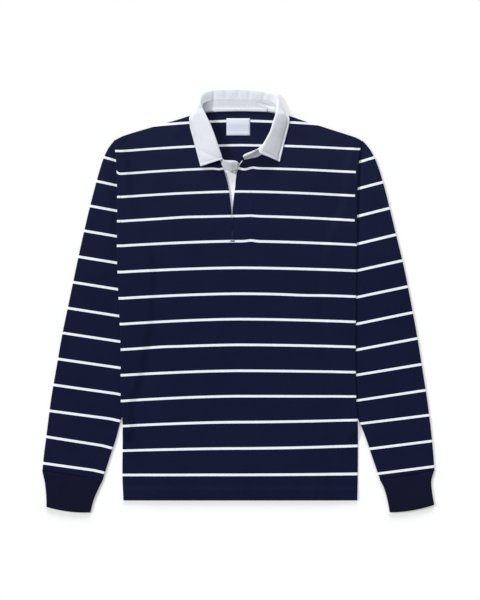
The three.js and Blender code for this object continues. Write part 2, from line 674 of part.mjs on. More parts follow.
/** Completes a collar section: heights of the seam, the turn and the free edge. */
function finishSection(section, side, onBackEdge, under) {
  const outward = side === 'left' ? -1 : 1;
  const at = (x, y, z) => new THREE.Vector3(COLLAR_CENTRE + outward * x, y, z);
  const seamTop = frontTopNear(COLLAR_CENTRE + outward * section.seamX, section.seamY);
  const seamZ = section.seamZ ?? (onBackEdge ? STAND_BACK_Z : seamTop + SEAM_GAP + SEAM_ALLOWANCE);
  const done = {
    flat: onBackEdge,
    seam: at(section.seamX, section.seamY, seamZ),
    top: at(section.topX, section.topY, section.topZ),
  };
  if (section.crestX === undefined) return done;
  const edgeTop = frontTopNear(COLLAR_CENTRE + outward * section.edgeX, section.edgeY);
  const edgeZ = section.edgeZ ?? (under ? FALL_UNDER_Z : edgeTop + SEAM_GAP + TWILL / 2 + EDGE_LOFT);
  done.crest = at(section.crestX, section.crestY, section.crestZ);
  done.edge = at(section.edgeX, section.edgeY, edgeZ);
  if (section.turnX === undefined) {
    done.turn = new THREE.Vector3().lerpVectors(done.crest, done.edge, LEAF_MIDDLE);
    done.turn.z += LEAF_CROWN;
  } else {
    const turnZ = section.turnZ ?? mix(FALL_UNDER_Z, section.crestZ, TURN_HEIGHT);
    done.turn = at(section.turnX, section.turnY, turnZ);
  }
  const beyond = under ? BEYOND_UNDER : BEYOND_ON_FRONT;
  done.beyond = new THREE.Vector3().lerpVectors(done.turn, done.edge, beyond);
  if (under) done.beyond.z = FALL_UNDER_Z + BEYOND_LOFT;
  return done;
}

/** Sections of one half of the collar, from the middle of the back to the front end. */
function collarHalf(side) {
  const back = collarBack.map((section, i) => (
    finishSection(section, side, i < BACK_SECTIONS_ON_EDGE, true)
  ));
  const turn = collarTurn.map((section, i) => finishSection(section, side, false, i === 0));
  const leafRows = side === 'left' ? collarLeft : collarRight;
  const leaf = leafRows.map((section) => finishSection(section, side, false, false));
  return [...back, ...turn, ...leaf];
}

/** Points along a smooth line through the given ones. */
function smoothRow(points, cells) {
  return new THREE.CatmullRomCurve3(points, false, 'centripetal').getPoints(cells);
}

const leftHalf = collarHalf('left');
const rightHalf = collarHalf('right');
const foldSections = [...leftHalf.slice(1).reverse(), ...rightHalf];
const leftEnd = standEndLeft.map((section) => finishSection(section, 'left', false, false));
const rightEnd = standEndRight.map((section) => finishSection(section, 'right', false, false));
const standSections = [...leftEnd.reverse(), ...foldSections, ...rightEnd];

function standPatch() {
  const grid = standSections.map(({ seam, top }) => {
    const middle = new THREE.Vector3().lerpVectors(seam, top, 0.5);
    middle.z -= STAND_SAG;
    return smoothRow([seam, middle, top], STAND_CELLS);
  });
  return thicken(grid, TWILL);
}

function fallPatch() {
  const grid = foldSections.map(({ seam, top, crest, turn, beyond, edge, flat }) => {
    const upward = new THREE.Vector3().subVectors(top, seam).normalize();
    const start = top.clone().addScaledVector(upward, SEAM_GAP + FALL_START_FLAT);
    if (!flat) start.set(top.x, top.y, top.z + SEAM_GAP + FALL_START_UPRIGHT);
    return smoothRow([start, crest, turn, beyond, edge], FALL_CELLS);
  });
  return thicken(grid, TWILL);
}

/** Tape over the seam at the back of the neck, made from the stand's own points moved in. */
function tapePatch() {
  const middle = (standSections.length - 1) / 2;
  const reach = BACK_SECTIONS_ON_EDGE - 1;
  const sections = standSections.slice(Math.ceil(middle) - reach, Math.ceil(middle) + reach + 1);
  const lift = TWILL / 2 + SEAM_GAP + TAPE.thickness / 2 + TAPE.loft;
  const grid = sections.map(({ seam, top }) => [TAPE.foot, TAPE.head].map((share) => {
    const point = new THREE.Vector3().lerpVectors(seam, top, share);
    point.z += lift;
    return point;
  }));
  return thicken(grid, TAPE.thickness);
}

/** Edge of the front opening at a height, on the side asked for. */
function slitX(side, y) {
  const height = `${side}Y`;
  const rows = bodyRows.filter((row) => row[height] >= SLIT_TABLE.from && row[height] < SLIT_TABLE.to);
  return read(rows, `${side}Y`, `${side}X`, y);
}

/** A strip of cloth lying level, its left and right edges given for each height. */
function stripPatch(heights, edges, z, thickness) {
  return heights.map((y) => {
    const [left, right] = edges(y);
    return STRIP_SHARES.map((share) => levelCorner(mix(left, right, share), y, z, thickness));
  });
}

function evenSteps(from, to, cells) {
  return Array.from({ length: cells + 1 }, (unused, k) => mix(from, to, k / cells));
}

function underPlacketPatch() {
  const edges = (y) => [slitX('left', y) - PLACKET_UNDER_LAP, PLACKET_RIGHT_X];
  const heights = evenSteps(PLACKET_BOTTOM_Y, PLACKET_TOP_Y, UNDER_PLACKET_CELLS);
  return stripPatch(heights, edges, JERSEY + SEAM_GAP, THIN_TWILL);
}

function facingPatch() {
  const edges = (y) => [slitX('right', y) - FACING_SHOWS, slitX('right', y) + FACING_WIDTH];
  const z = JERSEY + SEAM_GAP + THIN_TWILL + SEAM_GAP;
  const heights = evenSteps(FACING_BOTTOM_Y, FACING_TOP_Y, FACING_CELLS);
  return stripPatch(heights, edges, z, THIN_TWILL);
}

function labelPatch() {
  const foot = bodyRows[bodyRows.length - 3].back;
  const head = bodyRows[bodyRows.length - 2].back;
  const heights = [LABEL.bottom, foot, head, LABEL.top];
  return heights.map((y) => [LABEL.left, 0, LABEL.right].map((x) => {
    const lift = OVER_FALL * THREE.MathUtils.clamp((y - foot) / (head - foot), 0, 1);
    return levelCorner(x, y, lift + JERSEY + SEAM_GAP, LABEL.thickness);
  }));
}

/** Flat rubber button with a raised rim; its axis is the geometry's Y. */
function buttonGeometry() {
  const { radius, thickness, rim } = BUTTON;
  const profile = [
    new THREE.Vector2(0, 0),
    new THREE.Vector2(radius * BUTTON.foot, 0),
    new THREE.Vector2(radius, thickness * BUTTON.waistHeight),
    new THREE.Vector2(radius * BUTTON.shoulder, thickness),
    new THREE.Vector2(radius * BUTTON.rimInner, thickness),
    new THREE.Vector2(radius * BUTTON.dish, thickness - rim),
    new THREE.Vector2(0, thickness - rim),
  ];
  return new THREE.LatheGeometry(profile, BUTTON.sides);
}

function finish(colour, roughness) {
  return new THREE.MeshStandardMaterial({ color: colour, roughness, metalness: 0 });
}

const jersey = finish(NAVY, 0.92);
const rib = finish(RIB_NAVY, 0.95);
const twill = finish(WHITE, 0.8);
const rubber = finish(RUBBER, 0.5);

const shirt = new THREE.Group();

function addPiece(name, geometry, material) {
  const piece = new THREE.Mesh(geometry, material);
  piece.name = name;
  shirt.add(piece);
  return piece;
}

addPiece('back', clothSolid(backPatches), jersey);
addPiece('front', clothSolid(frontPatches), jersey);
addPiece('sleeve_left', clothSolid(sleevePatches('left')), jersey);
addPiece('sleeve_right', clothSolid(sleevePatches('right')), jersey);
addPiece('cuff_left', clothSolid(cuffPatches(leftCuffRows)), rib);
addPiece('cuff_right', clothSolid(cuffPatches(rightCuffRows)), rib);
addPiece('collar_stand', clothSolid([standPatch()]), twill);
addPiece('collar_fall', clothSolid([fallPatch()]), twill);
addPiece('neck_tape', clothSolid([tapePatch()]), twill);
addPiece('placket_under', clothSolid([underPlacketPatch()]), twill);
addPiece('placket_facing', clothSolid([facingPatch()]), twill);
addPiece('label', clothSolid([labelPatch()]), twill);

// The button sits on the outer face of the stand's left end, turned to that face
const [buttonEnd, buttonNext] = standSections;
const buttonSeam = new THREE.Vector3().lerpVectors(buttonEnd.seam, buttonNext.seam, 0.5);
const buttonTop = new THREE.Vector3().lerpVectors(buttonEnd.top, buttonNext.top, 0.5);
const upStand = new THREE.Vector3().subVectors(buttonTop, buttonSeam);
const standLean = Math.atan2(upStand.z, upStand.y);
const button = addPiece('button', buttonGeometry(), rubber);
button.rotation.x = Math.PI / 2 + standLean;
button.position.lerpVectors(buttonSeam, buttonTop, BUTTON.upStand);
button.translateY(BUTTON.proud);

export default shirt;
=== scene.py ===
# %% [markdown]
# # A rugby shirt, laid flat
# The shirt lies on its back on a pale surface. Its cloth was cut as flat panels, so every
# piece here starts as a flat grid that is placed point by point on the form of its solid
# in the frame. Sizes are written in millimetres and turned into metres where a mesh is made.

# %% Load the frame
import json
import math

import bmesh
import bpy
from mathutils import Matrix, Vector, noise

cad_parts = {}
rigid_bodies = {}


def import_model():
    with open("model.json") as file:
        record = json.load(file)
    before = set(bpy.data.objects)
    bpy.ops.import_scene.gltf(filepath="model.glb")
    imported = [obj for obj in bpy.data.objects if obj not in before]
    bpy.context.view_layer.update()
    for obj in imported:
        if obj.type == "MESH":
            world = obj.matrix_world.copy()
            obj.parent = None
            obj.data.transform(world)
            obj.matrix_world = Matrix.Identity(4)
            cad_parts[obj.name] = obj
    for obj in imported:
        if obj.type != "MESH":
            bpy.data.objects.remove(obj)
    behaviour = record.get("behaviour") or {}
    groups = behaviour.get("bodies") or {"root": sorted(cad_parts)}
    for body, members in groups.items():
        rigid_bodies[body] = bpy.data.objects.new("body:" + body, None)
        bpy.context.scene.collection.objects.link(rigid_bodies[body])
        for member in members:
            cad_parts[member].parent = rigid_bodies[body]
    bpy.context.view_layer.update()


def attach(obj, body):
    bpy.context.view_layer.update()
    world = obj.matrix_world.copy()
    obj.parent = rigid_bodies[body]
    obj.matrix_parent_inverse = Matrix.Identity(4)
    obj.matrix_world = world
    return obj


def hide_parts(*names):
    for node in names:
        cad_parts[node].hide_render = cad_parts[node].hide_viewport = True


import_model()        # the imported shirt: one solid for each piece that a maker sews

MM = 0.001

# %% [markdown]
# ## The cut, in short tables
# A pattern cutter works from a few measured lines: the side edges, the shoulder, the folds of
# the sleeves. The same lines place the solids, so they are given once here and read smoothly
# in between. The other way, tracing every edge as a dense outline, is harder to change.

# %% Side edges, shoulder and sleeve folds
CREASE = "from_x from_y to_x to_y width rise"


def table(columns, *rows):
    """A short table: each row becomes a dict with the named columns."""
    return [dict(zip(columns.split(), row)) for row in rows]


body_sides = table(
    "y left right",
    (-369, -213, 220),
    (-322, -215, 221),
    (-229, -214.5, 221),
    (-183, -218, 218),
    (-91, -218, 217),
    (2, -222, 217.5),
    (94, -225, 219),
    (192, -224.5, 220),
    (250, -226, 222.5),
    (297, -230, 227),
)
shoulder_line = table(
    "x y",
    (0, 351),
    (50, 349),
    (67, 346.5),
    (82, 341.6),
    (90, 342.6),
    (98, 341),
    (112, 336.4),
    (137, 329.2),
    (152, 325),
    (176, 318),
    (200, 311),
    (216, 305.5),
    (233, 297),
)
sleeve_folds = table(
    "y left_outer left_inner right_inner right_outer",
    (-330, -364.5, -251, 262, 364),
    (-287, -360.5, -237.5, 247, 361),
    (-254, -356.3, -226.5, 236, 358),
    (-222, -352.3, -218, 223, 354.5),
    (-180, -346.8, -203, 204, 349),
    (-120, -336.5, -186, 186, 339.7),
    (-60, -326, -175, 174, 330),
    (0, -313.5, -169, 168, 318.9),
    (60, -301, -168, 167, 307),
    (120, -288, -180, 177, 292.5),
    (180, -273.8, -206, 202, 278),
    (222, -262.7, -210, 206, 267),
    (257, -252.5, -214, 210, 255.5),
    (279, -243.3, -219, 215, 244.5),
    (290, -235.9, -223, 219, 236),
    (297, -230, -227, 223, 229),
)
COLLAR_CENTRE = 2.8
SHOULDER_TIP_Y = 297
BACK_NECK_Y = 351
HEM_Y = -369
SLIT_X = -12
SLIT_BOTTOM_Y = 111

# %% Rows of the front and back, from the hem to the shoulder
# side is the height at the side edge, back the height at the back's centre, and the rest is
# the edge of the front opening on the left and the right of the slit.
body_rows = table(
    "side back left_x left_y right_x right_y",
    (-369, -369, SLIT_X, -369, SLIT_X, -369),
    (-335, -335, SLIT_X, -335, SLIT_X, -335),
    (-300, -300, SLIT_X, -300, SLIT_X, -300),
    (-264, -262, SLIT_X, -262, SLIT_X, -262),
    (-240, -232, SLIT_X, -232, SLIT_X, -232),
    (-200, -192, SLIT_X, -192, SLIT_X, -192),
    (-160, -151, SLIT_X, -151, SLIT_X, -151),
    (-118, -109, SLIT_X, -109, SLIT_X, -109),
    (-76, -67, SLIT_X, -67, SLIT_X, -67),
    (-34, -25, SLIT_X, -25, SLIT_X, -25),
    (8, 17, SLIT_X, 18, SLIT_X, 18),
    (48, 58, SLIT_X, 62, SLIT_X, 62),
    (84, 98, SLIT_X, 108, SLIT_X, 108),
    (116, 136, -12.2, 153, -11.8, 153),
    (142, 168, -14.3, 180, -9.7, 182),
    (166, 198, -18.6, 211, -6.3, 210),
    (188, 226, -26.6, 241, -3, 236),
    (209, 251, -33.6, 262, 9, 261),
    (229, 273, -45.5, 284, 34, 267),
    (248, 293, -57, 305, 53, 284),
    (266, 312, -64, 324, 65, 307),
    (282, 331.5, -67, 336, 71.5, 329),
    (297, 351, -64.2, 346.5, 69.8, 346.5),
)
TOP_ROW = len(body_rows) - 1


def mix(a, b, t):
    """The value or point that lies the share t of the way from a to b."""
    return a + (b - a) * t


def ease(low, high, value):
    """0 below low, 1 above high, and a soft step in between."""
    t = min(max((value - low) / (high - low), 0), 1)
    return t * t * (3 - 2 * t)


def curve(a, b, slope_a, slope_b, t):
    """A smooth way from a to b that starts and ends with the given slopes."""
    t2, t3 = t * t, t * t * t
    return (
        a * (2 * t3 - 3 * t2 + 1)
        + b * (3 * t2 - 2 * t3)
        + slope_a * (t3 - 2 * t2 + t)
        + slope_b * (t3 - t2)
    )


def along(values, at):
    """Reads a list of values smoothly at a place between its items."""
    last = len(values) - 1
    i = min(max(int(at), 0), last - 1)
    t = min(max(at - i, 0), 1)
    low, high = values[i], values[i + 1]
    low_slope = (high - values[max(i - 1, 0)]) / (i + 1 - max(i - 1, 0))
    high_slope = (values[min(i + 2, last)] - low) / (min(i + 2, last) - i)
    return curve(low, high, low_slope, high_slope, t)


def read(rows, key, field, at):
    """Reads a column of a table smoothly at any value of its key column."""
    i = 0
    while i < len(rows) - 2 and rows[i + 1][key] < at:
        i += 1
    span = rows[i + 1][key] - rows[i][key]
    t = min(max((at - rows[i][key]) / span, 0), 1)

    def slope(k):
        before, after = rows[max(k - 1, 0)], rows[min(k + 1, len(rows) - 1)]
        return (after[field] - before[field]) / (after[key] - before[key])

    return curve(rows[i][field], rows[i + 1][field], slope(i) * span, slope(i + 1) * span, t)


def shoulder_y(x):
    """Height of the shoulder line over a place across the shirt."""
    return read(shoulder_line, "x", "y", abs(x - COLLAR_CENTRE))


chest_left, chest_right = (read(body_sides, "y", side, 94) for side in ("left", "right"))
print("Body width at the chest in mm:", chest_right - chest_left)

# %% [markdown]
# ## How the layers lie
# Jersey lies in soft layers: the back on the table, a sleeve tucked under each side, the front on top with a
# little air in it. Each layer's height is a function of its place, so layers made apart still fit. A cloth
# simulation would also stack them, but it drifts from the photo's outline and its stripes, so the creases are
# placed one by one, each with its own line and width.

# %% Layers and creases
JERSEY = 1.3
SLEEVE_TUCKED = 3.5
OVER_SLEEVE = 4.0
OVER_FALL = 1.9
LIFT_RAMP = 16
SEAM_ROUND = 3.2
HEM_DEPTH = 22
HEM_FOLD = 1.1
HEM_SOFTENS = dict(before=1.5, after=2)
UNDER_COLLAR = dict(full=112, none=134, below_full=20, below_none=38)
SLEEVE_GOES_UNDER = dict(low=-264, high=-240)
CALM_EDGE = dict(side=26, shoulder=30, hem=24)
HELD_BY_COLLAR = dict(share=0.7, low=236, high=262, narrow=90, wide=110)
CREASE_ENDS = 0.35

air_from_side = table(
    "inward air",
    (0, 0.3),
    (25, 0.9),
    (50, 1.5),
    (66, 2.6),
    (95, 3.2),
)
air_from_shoulder = table(
    "below air",
    (0, 0.4),
    (19, 1.5),
    (38, 2.5),
    (60, 3.2),
)
air_from_hem = table(
    "above air",
    (0, 1.8),
    (34, 2.6),
    (69, 3.2),
)
body_creases = table(
    CREASE,
    (-214, 138, -95, 215, 22, -0.8),
    (-206, 112, -120, 158, 13, 0.55),
    (-190, 185, -128, 268, 16, 0.4),
    (209, 140, 105, 205, 22, -0.8),
    (203, 108, 128, 150, 13, 0.5),
    (178, 190, 120, 262, 16, 0.4),
    (-150, -60, -110, 90, 26, 0.6),
    (-92, -30, -70, 70, 18, -0.35),
    (140, -120, 110, 60, 26, 0.6),
    (60, -60, 78, 40, 17, -0.35),
    (-60, -330, -40, -180, 24, -0.6),
    (-130, -352, -118, -240, 15, 0.4),
    (90, -340, 120, -200, 24, 0.6),
    (20, -356, 34, -268, 14, -0.35),
    (168, -330, 182, -236, 15, -0.45),
    (-186, -180, -168, -84, 14, -0.45),
    (24, 238, 60, 212, 10, -0.5),
    (30, 256, 52, 240, 7, 0.6),
    (2, 236, 13, 238, 3, -0.6),
    (14, 238, 25, 246, 3, -1.8),
    (6, 243, 18, 244, 4, 1),
    (20, 258, 62, 256, 9, -1.4),
    (-40, 250, -62, 248, 7, -1.2),
    (-40, 226, -74, 196, 11, -0.45),
    (24, 120, 46, 84, 10, -0.3),
)
sleeve_creases = table(
    CREASE,
    (-330, -190, -255, -150, 16, -0.7),
    (-338, -232, -282, -214, 12, 0.6),
    (-318, -92, -262, -58, 13, -0.45),
    (-300, 20, -240, 90, 18, 0.6),
    (-268, 120, -238, 176, 11, -0.5),
    (-322, -286, -268, -268, 11, -0.5),
    (325, -120, 250, -70, 16, -0.7),
    (330, -230, 262, -200, 16, 0.6),
    (336, -176, 286, -150, 12, -0.5),
    (300, 30, 244, 96, 17, 0.55),
    (272, 128, 238, 180, 11, -0.5),
    (330, -292, 280, -274, 11, 0.45),
)
ARMHOLE_DIP = dict(low=60, high=150, depth=1.5, width=5)
crumple_sizes = [dict(span=70, rise=0.34), dict(span=27, rise=0.14), dict(span=11, rise=0.05)]


def crease_rise(creases, x, y):
    """Height that the creases near a place add to the cloth there."""
    rise = 0
    for crease in creases:
        run_x, run_y = crease["to_x"] - crease["from_x"], crease["to_y"] - crease["from_y"]
        share = (x - crease["from_x"]) * run_x + (y - crease["from_y"]) * run_y
        share = min(max(share / (run_x * run_x + run_y * run_y), 0), 1)
        away = math.hypot(x - crease["from_x"] - share * run_x, y - crease["from_y"] - share * run_y)
        fade = mix(CREASE_ENDS, 1, math.sin(math.pi * (0.1 + 0.8 * share)))
        rise += crease["rise"] * fade * math.exp(-(away / crease["width"]) ** 2)
    return rise


def crumple(x, y, layer):
    """Unevenness of washed jersey, the same on every run."""
    return sum(
        size["rise"] * noise.noise(Vector((x, y, layer * 90)) / size["span"])
        for size in crumple_sizes
    )


def from_side(x, y):
    """How far inward of the nearer side edge a place of the body lies."""
    if x < SLIT_X:
        return x - read(body_sides, "y", "left", y)
    return read(body_sides, "y", "right", y) - x


def lift_under_back(x, y):
    """What lies under the back: a tucked sleeve near each side, the collar at the neck."""
    side = "left" if x < SLIT_X else "right"
    fold = read(sleeve_folds, "y", side + "_inner", y)
    covered = max(abs(fold - read(body_sides, "y", side, y)), 10) + 1
    over_sleeve = 1 - ease(covered, covered + LIFT_RAMP, from_side(x, y))
    below = shoulder_y(x) - y
    near_neck = 1 - ease(UNDER_COLLAR["full"], UNDER_COLLAR["none"], abs(x - COLLAR_CENTRE))
    over_fall = near_neck * (1 - ease(UNDER_COLLAR["below_full"], UNDER_COLLAR["below_none"], below))
    tucked = ease(SLEEVE_GOES_UNDER["low"], SLEEVE_GOES_UNDER["high"], y)
    return max(OVER_SLEEVE * over_sleeve * tucked, OVER_FALL * over_fall)


def air_inside(x, y):
    """The air between the back and the front, closed at the seams."""
    side_air = read(air_from_side, "inward", "air", from_side(x, y))
    shoulder_air = read(air_from_shoulder, "below", "air", shoulder_y(x) - y)
    hem_air = read(air_from_hem, "above", "air", y - HEM_Y)
    return min(side_air, shoulder_air, hem_air)


def hem_allowance(y):
    """The hem is folded up inside, so the cloth is thicker up to its stitching."""
    stitching = HEM_Y + HEM_DEPTH
    return HEM_FOLD * (1 - ease(stitching - HEM_SOFTENS["before"], stitching + HEM_SOFTENS["after"], y))


def roll_at_edge(inward):
    """0 inside the panel, growing to 1 where the cloth rolls over at a seam or hem."""
    share = min(max(1 - inward / SEAM_ROUND, 0), 1)
    return 1 - math.sqrt(1 - share * share)


def front_top(x, y):
    """Height of the front panel's outer face."""
    air = air_inside(x, y)
    inward = max(from_side(x, y), 0)
    below = max(shoulder_y(x) - y, 0)
    calm = ease(0, CALM_EDGE["side"], inward) * ease(0, CALM_EDGE["shoulder"], below)
    calm *= ease(0, CALM_EDGE["hem"], y - HEM_Y)
    held = ease(HELD_BY_COLLAR["low"], HELD_BY_COLLAR["high"], y)
    held *= 1 - ease(HELD_BY_COLLAR["narrow"], HELD_BY_COLLAR["wide"], abs(x - COLLAR_CENTRE))
    under_collar = 1 - HELD_BY_COLLAR["share"] * held
    soft = crease_rise(body_creases, x, y) + crumple(x, y, 1)
    flat = lift_under_back(x, y) + 2 * JERSEY + air + soft * calm * under_collar + hem_allowance(y)
    roll = max(roll_at_edge(inward), roll_at_edge(below), roll_at_edge(y - HEM_Y))
    return flat - roll * (JERSEY + air / 2)


print("Front at the middle of the chest lies", round(front_top(40, 60), 2), "mm up")

# %% [markdown]
# ## Stripes that run as the yarn runs
# The stripes are knitted in, so they follow the cloth: they droop to the side seams and slant
# on the sleeves. Each piece carries a number at every point, its height in the striped cloth,
# and the material draws a stripe at each whole one. Drawing straight lines by place would be
# quicker, but they would not bend with the panel.

# %% Heights of the stripes
STRIPE_PITCH = 48
STRIPE_WIDTH = 4.6
body_stripes = table(
    "centre left right",
    (-372, 0, 0),
    (-321.5, 0.4, -1.5),
    (-272.7, 4.4, -4.8),
    (-224, 7.4, -4.1),
    (-176, 8.9, 0.6),
    (-129, 8.3, 2.8),
    (-81, 8.8, 4),
    (-33.5, 9.2, 5.2),
    (13.5, 8.5, 5.5),
    (61.4, 7.8, 5.6),
    (110.8, 8.6, 7),
    (157.3, 9.6, 8.5),
    (202.6, 10, 8.2),
    (246, 10.6, 7.8),
    (288.5, 11.1, 7.4),
    (333.5, 14, 12),
    (381, 16, 14),
)
left_sleeve_stripes = table(
    "out_x out_y in_x in_y",
    (-368, -348, -262, -363),
    (-362, -300, -246, -316),
    (-356, -251, -230, -271),
    (-350, -203, -213, -221),
    (-343, -155, -201, -175),
    (-335, -107, -190, -128),
    (-325, -59, -180, -81),
    (-316, -13, -175, -35),
    (-307, 35, -169, 13),
    (-296, 82, -166, 61),
    (-285, 130, -162, 109),
    (-275, 176, -160, 155),
    (-263, 222, -160, 200),
    (-249, 266, -164, 242),
    (-236, 311, -166, 286),
)
right_sleeve_stripes = table(
    "out_x out_y in_x in_y",
    (366, -353, 268, -366),
    (362, -306, 254, -320),
    (358, -259, 239, -274),
    (353, -211, 216, -228),
    (347, -165, 201, -187),
    (339, -117, 188, -142),
    (332, -69, 179, -98),
    (323, -21, 173, -52),
    (314, 27, 167, -4),
    (304, 75, 164, 44),
    (292, 123, 160, 91),
    (280, 172, 158, 141),
    (267, 220, 160, 192),
    (252, 266, 164, 239),
    (238, 312, 166, 286),
)
DROOP_POWER = 1.6
HALF_BODY = 218
ARMHOLE_PLAIN = dict(low=120, high=262, width=4.65)
LOW_BEND = dict(drop=2.6, share_from=0.78, share_to=1.05, full_below=-190, none_above=-120)
stripe_pulls = table(
    "x y reach_x reach_y up",
    (23, 110, 9, 14, 1.7),
    (22, 158, 12, 14, 0.8),
    (11, 243, 8, 12, -2.6),
    (27, 246, 6, 12, 1.2),
    (-36, 245, 7, 10, -1.6),
    (-100, 157, 30, 16, 0.8),
    (120, 13, 34, 18, -0.9),
    (-140, -81, 30, 18, 0.8),
    (-229, 240, 5, 17, 7),
)
PLACKET_KINK_X = 23
PLAIN_NUMBER = 0.5


def stripe_at(heights, y):
    """Number of the stripe at height y, where heights are the stripes' own heights."""
    i = 0
    while i < len(heights) - 2 and heights[i + 1] < y:
        i += 1
    return i + (y - heights[i]) / (heights[i + 1] - heights[i])


def body_stripe(x, y):
    """Stripe number on the front and back; below the first one the hem is plain."""
    away = min(abs(x - COLLAR_CENTRE) / HALF_BODY, 1) ** DROOP_POWER
    droop = "left" if x < COLLAR_CENTRE else "right"
    heights = [row["centre"] - row[droop] * away for row in body_stripes]
    pulled = 0
    for pull in stripe_pulls:
        off_x, off_y = (x - pull["x"]) / pull["reach_x"], (y - pull["y"]) / pull["reach_y"]
        pulled += pull["up"] * math.exp(-off_x * off_x - off_y * off_y)
    return max(stripe_at(heights, y - pulled), PLAIN_NUMBER)


def turned_in(x, y):
    """Above 0.5 on the strip that is turned in at the right armhole, where no stripe shows."""
    if x < SLIT_X:
        return 0
    inside = ARMHOLE_PLAIN["width"] - from_side(x, y)
    return 0.5 + min(inside, y - ARMHOLE_PLAIN["low"], ARMHOLE_PLAIN["high"] - y)


def sleeve_stripe(rows, x, y):
    """Stripe number on a sleeve; low on the left one the stripes bend down at the seam."""
    heights = []
    for row in rows:
        share = (x - row["out_x"]) / (row["in_x"] - row["out_x"])
        bend = 0
        if x < 0:
            bend = LOW_BEND["drop"] * ease(LOW_BEND["share_from"], LOW_BEND["share_to"], share)
            bend *= 1 - ease(LOW_BEND["full_below"], LOW_BEND["none_above"], y)
        heights.append(mix(row["out_y"], row["in_y"], share) - bend)
    return stripe_at(heights, y)


print("Stripes on the body:", len(body_stripes) - 2)

# %% [markdown]
# ## A grid of cloth
# One helper makes every panel. It starts from a flat grid made by an operator, moves each
# point to its place, and keeps two things on it: a UV map in metres of cloth, for the weave,
# and the stripe's number. A tube is a grid whose two long edges meet and are merged.

# %% Helpers for cloth
def cloth_grid(name, across, up, place, stripe=None, turned=False, plain=None):
    """A grid of cloth. place gives a point in mm for a column and row, and the UV in mm."""
    bm = bmesh.new()
    bmesh.ops.create_grid(bm, x_segments=across, y_segments=up, size=1)
    uv_layer = bm.loops.layers.uv.new("Cloth")
    stripe_layer = bm.verts.layers.float.new("stripe")
    plain_layer = bm.verts.layers.float.new("turned_in")
    uvs = {}
    for vert in bm.verts:
        column = round((vert.co.x + 1) / 2 * across)
        row = round((vert.co.y + 1) / 2 * up)
        point, uv = place(column, row)
        uvs[vert] = (uv[0] * MM, uv[1] * MM)
        if stripe:
            vert[stripe_layer] = stripe(point.x, point.y)
        if plain:
            vert[plain_layer] = plain(point.x, point.y)
        vert.co = point * MM
    for face in bm.faces:
        face.smooth = True
        for loop in face.loops:
            loop[uv_layer].uv = uvs[loop.vert]
    bmesh.ops.remove_doubles(bm, verts=bm.verts, dist=0.00002)
    if turned:
        bmesh.ops.reverse_faces(bm, faces=bm.faces)
    return bm_to_object(name, bm)


def bm_to_object(name, bm):
    """Turns the built mesh into an object of the scene."""
    mesh = bpy.data.meshes.new(name)
    bm.to_mesh(mesh)
    bm.free()
    piece = bpy.data.objects.new(name, mesh)
    bpy.context.scene.collection.objects.link(piece)
    return piece


def wall(piece, thickness, offset=-1):
    """Gives the grid the thickness of its cloth, in mm."""
    solidify = piece.modifiers.new("Cloth wall", "SOLIDIFY")
    solidify.thickness = thickness * MM
    solidify.offset = offset
    solidify.use_even_offset = False
    return piece


def dress(piece, material, slot, *nodes):
    """Material, body and the solids that a piece stands for."""
    piece.data.materials.append(material)
    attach(piece, "root")
    if nodes:
        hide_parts(*nodes)
    size = [round((max(v.co[k] for v in piece.data.vertices)
                   - min(v.co[k] for v in piece.data.vertices)) / MM, 1) for k in range(3)]
    print(piece.name, "measures", size, "mm with", len(piece.data.polygons), "faces")
    return piece


def spaced(total, cells, edge_end=0.0):
    """Even places from 0 to total, with an extra one close to the end for a crisp edge."""
    places = [total * k / cells for k in range(cells + 1)]
    if edge_end:
        places.insert(len(places) - 1, total - edge_end)
    return places


# %% [markdown]
# ## Weaves as shared node groups
# Jersey is knitted in columns of small V loops; twill has fine slanting ribs. Both are drawn
# on the UV map at true scale and fed to Bump. They are node groups with named inputs, so that
# each cloth sets its own scale. Image textures would look alike but carry a fixed resolution.

# %% Node group helpers
def new_group(name, inputs, outputs):
    """A node group with named inputs and outputs, and its two end nodes."""
    group = bpy.data.node_groups.new(name, "ShaderNodeTree")
    for label, kind, value in inputs:
        socket = group.interface.new_socket(name=label, in_out="INPUT", socket_type=kind)
        if value is not None:
            socket.default_value = value
    for label, kind in outputs:
        group.interface.new_socket(name=label, in_out="OUTPUT", socket_type=kind)
    return group, group.nodes.new("NodeGroupInput"), group.nodes.new("NodeGroupOutput")


def connect(tree, value, socket):
    """Links an output to a socket, or sets the socket to a plain value."""
    if isinstance(value, bpy.types.NodeSocket):
        tree.links.new(value, socket)
    else:
        socket.default_value = value


def math_node(tree, operation, *values):
    node = tree.nodes.new("ShaderNodeMath")
    node.operation = operation
    for k, value in enumerate(values):
        connect(tree, value, node.inputs[k])
    return node.outputs[0]


def map_range(tree, value, low, high, to_low=0.0, to_high=1.0):
    node = tree.nodes.new("ShaderNodeMapRange")
    node.interpolation_type = "SMOOTHSTEP"
    connect(tree, value, node.inputs["Value"])
    connect(tree, low, node.inputs["From Min"])
    connect(tree, high, node.inputs["From Max"])
    connect(tree, to_low, node.inputs["To Min"])
    connect(tree, to_high, node.inputs["To Max"])
    return node.outputs["Result"]


def noise_node(tree, vector, scale, detail):
    node = tree.nodes.new("ShaderNodeTexNoise")
    node.inputs["Scale"].default_value = scale
    node.inputs["Detail"].default_value = detail
    tree.links.new(vector, node.inputs["Vector"])
    return node.outputs["Fac"]


def mix_colour(tree, factor, a, b):
    node = tree.nodes.new("ShaderNodeMix")
    node.data_type = "RGBA"
    connect(tree, factor, node.inputs[0])
    connect(tree, a, node.inputs[6])
    connect(tree, b, node.inputs[7])
    return node.outputs[2]


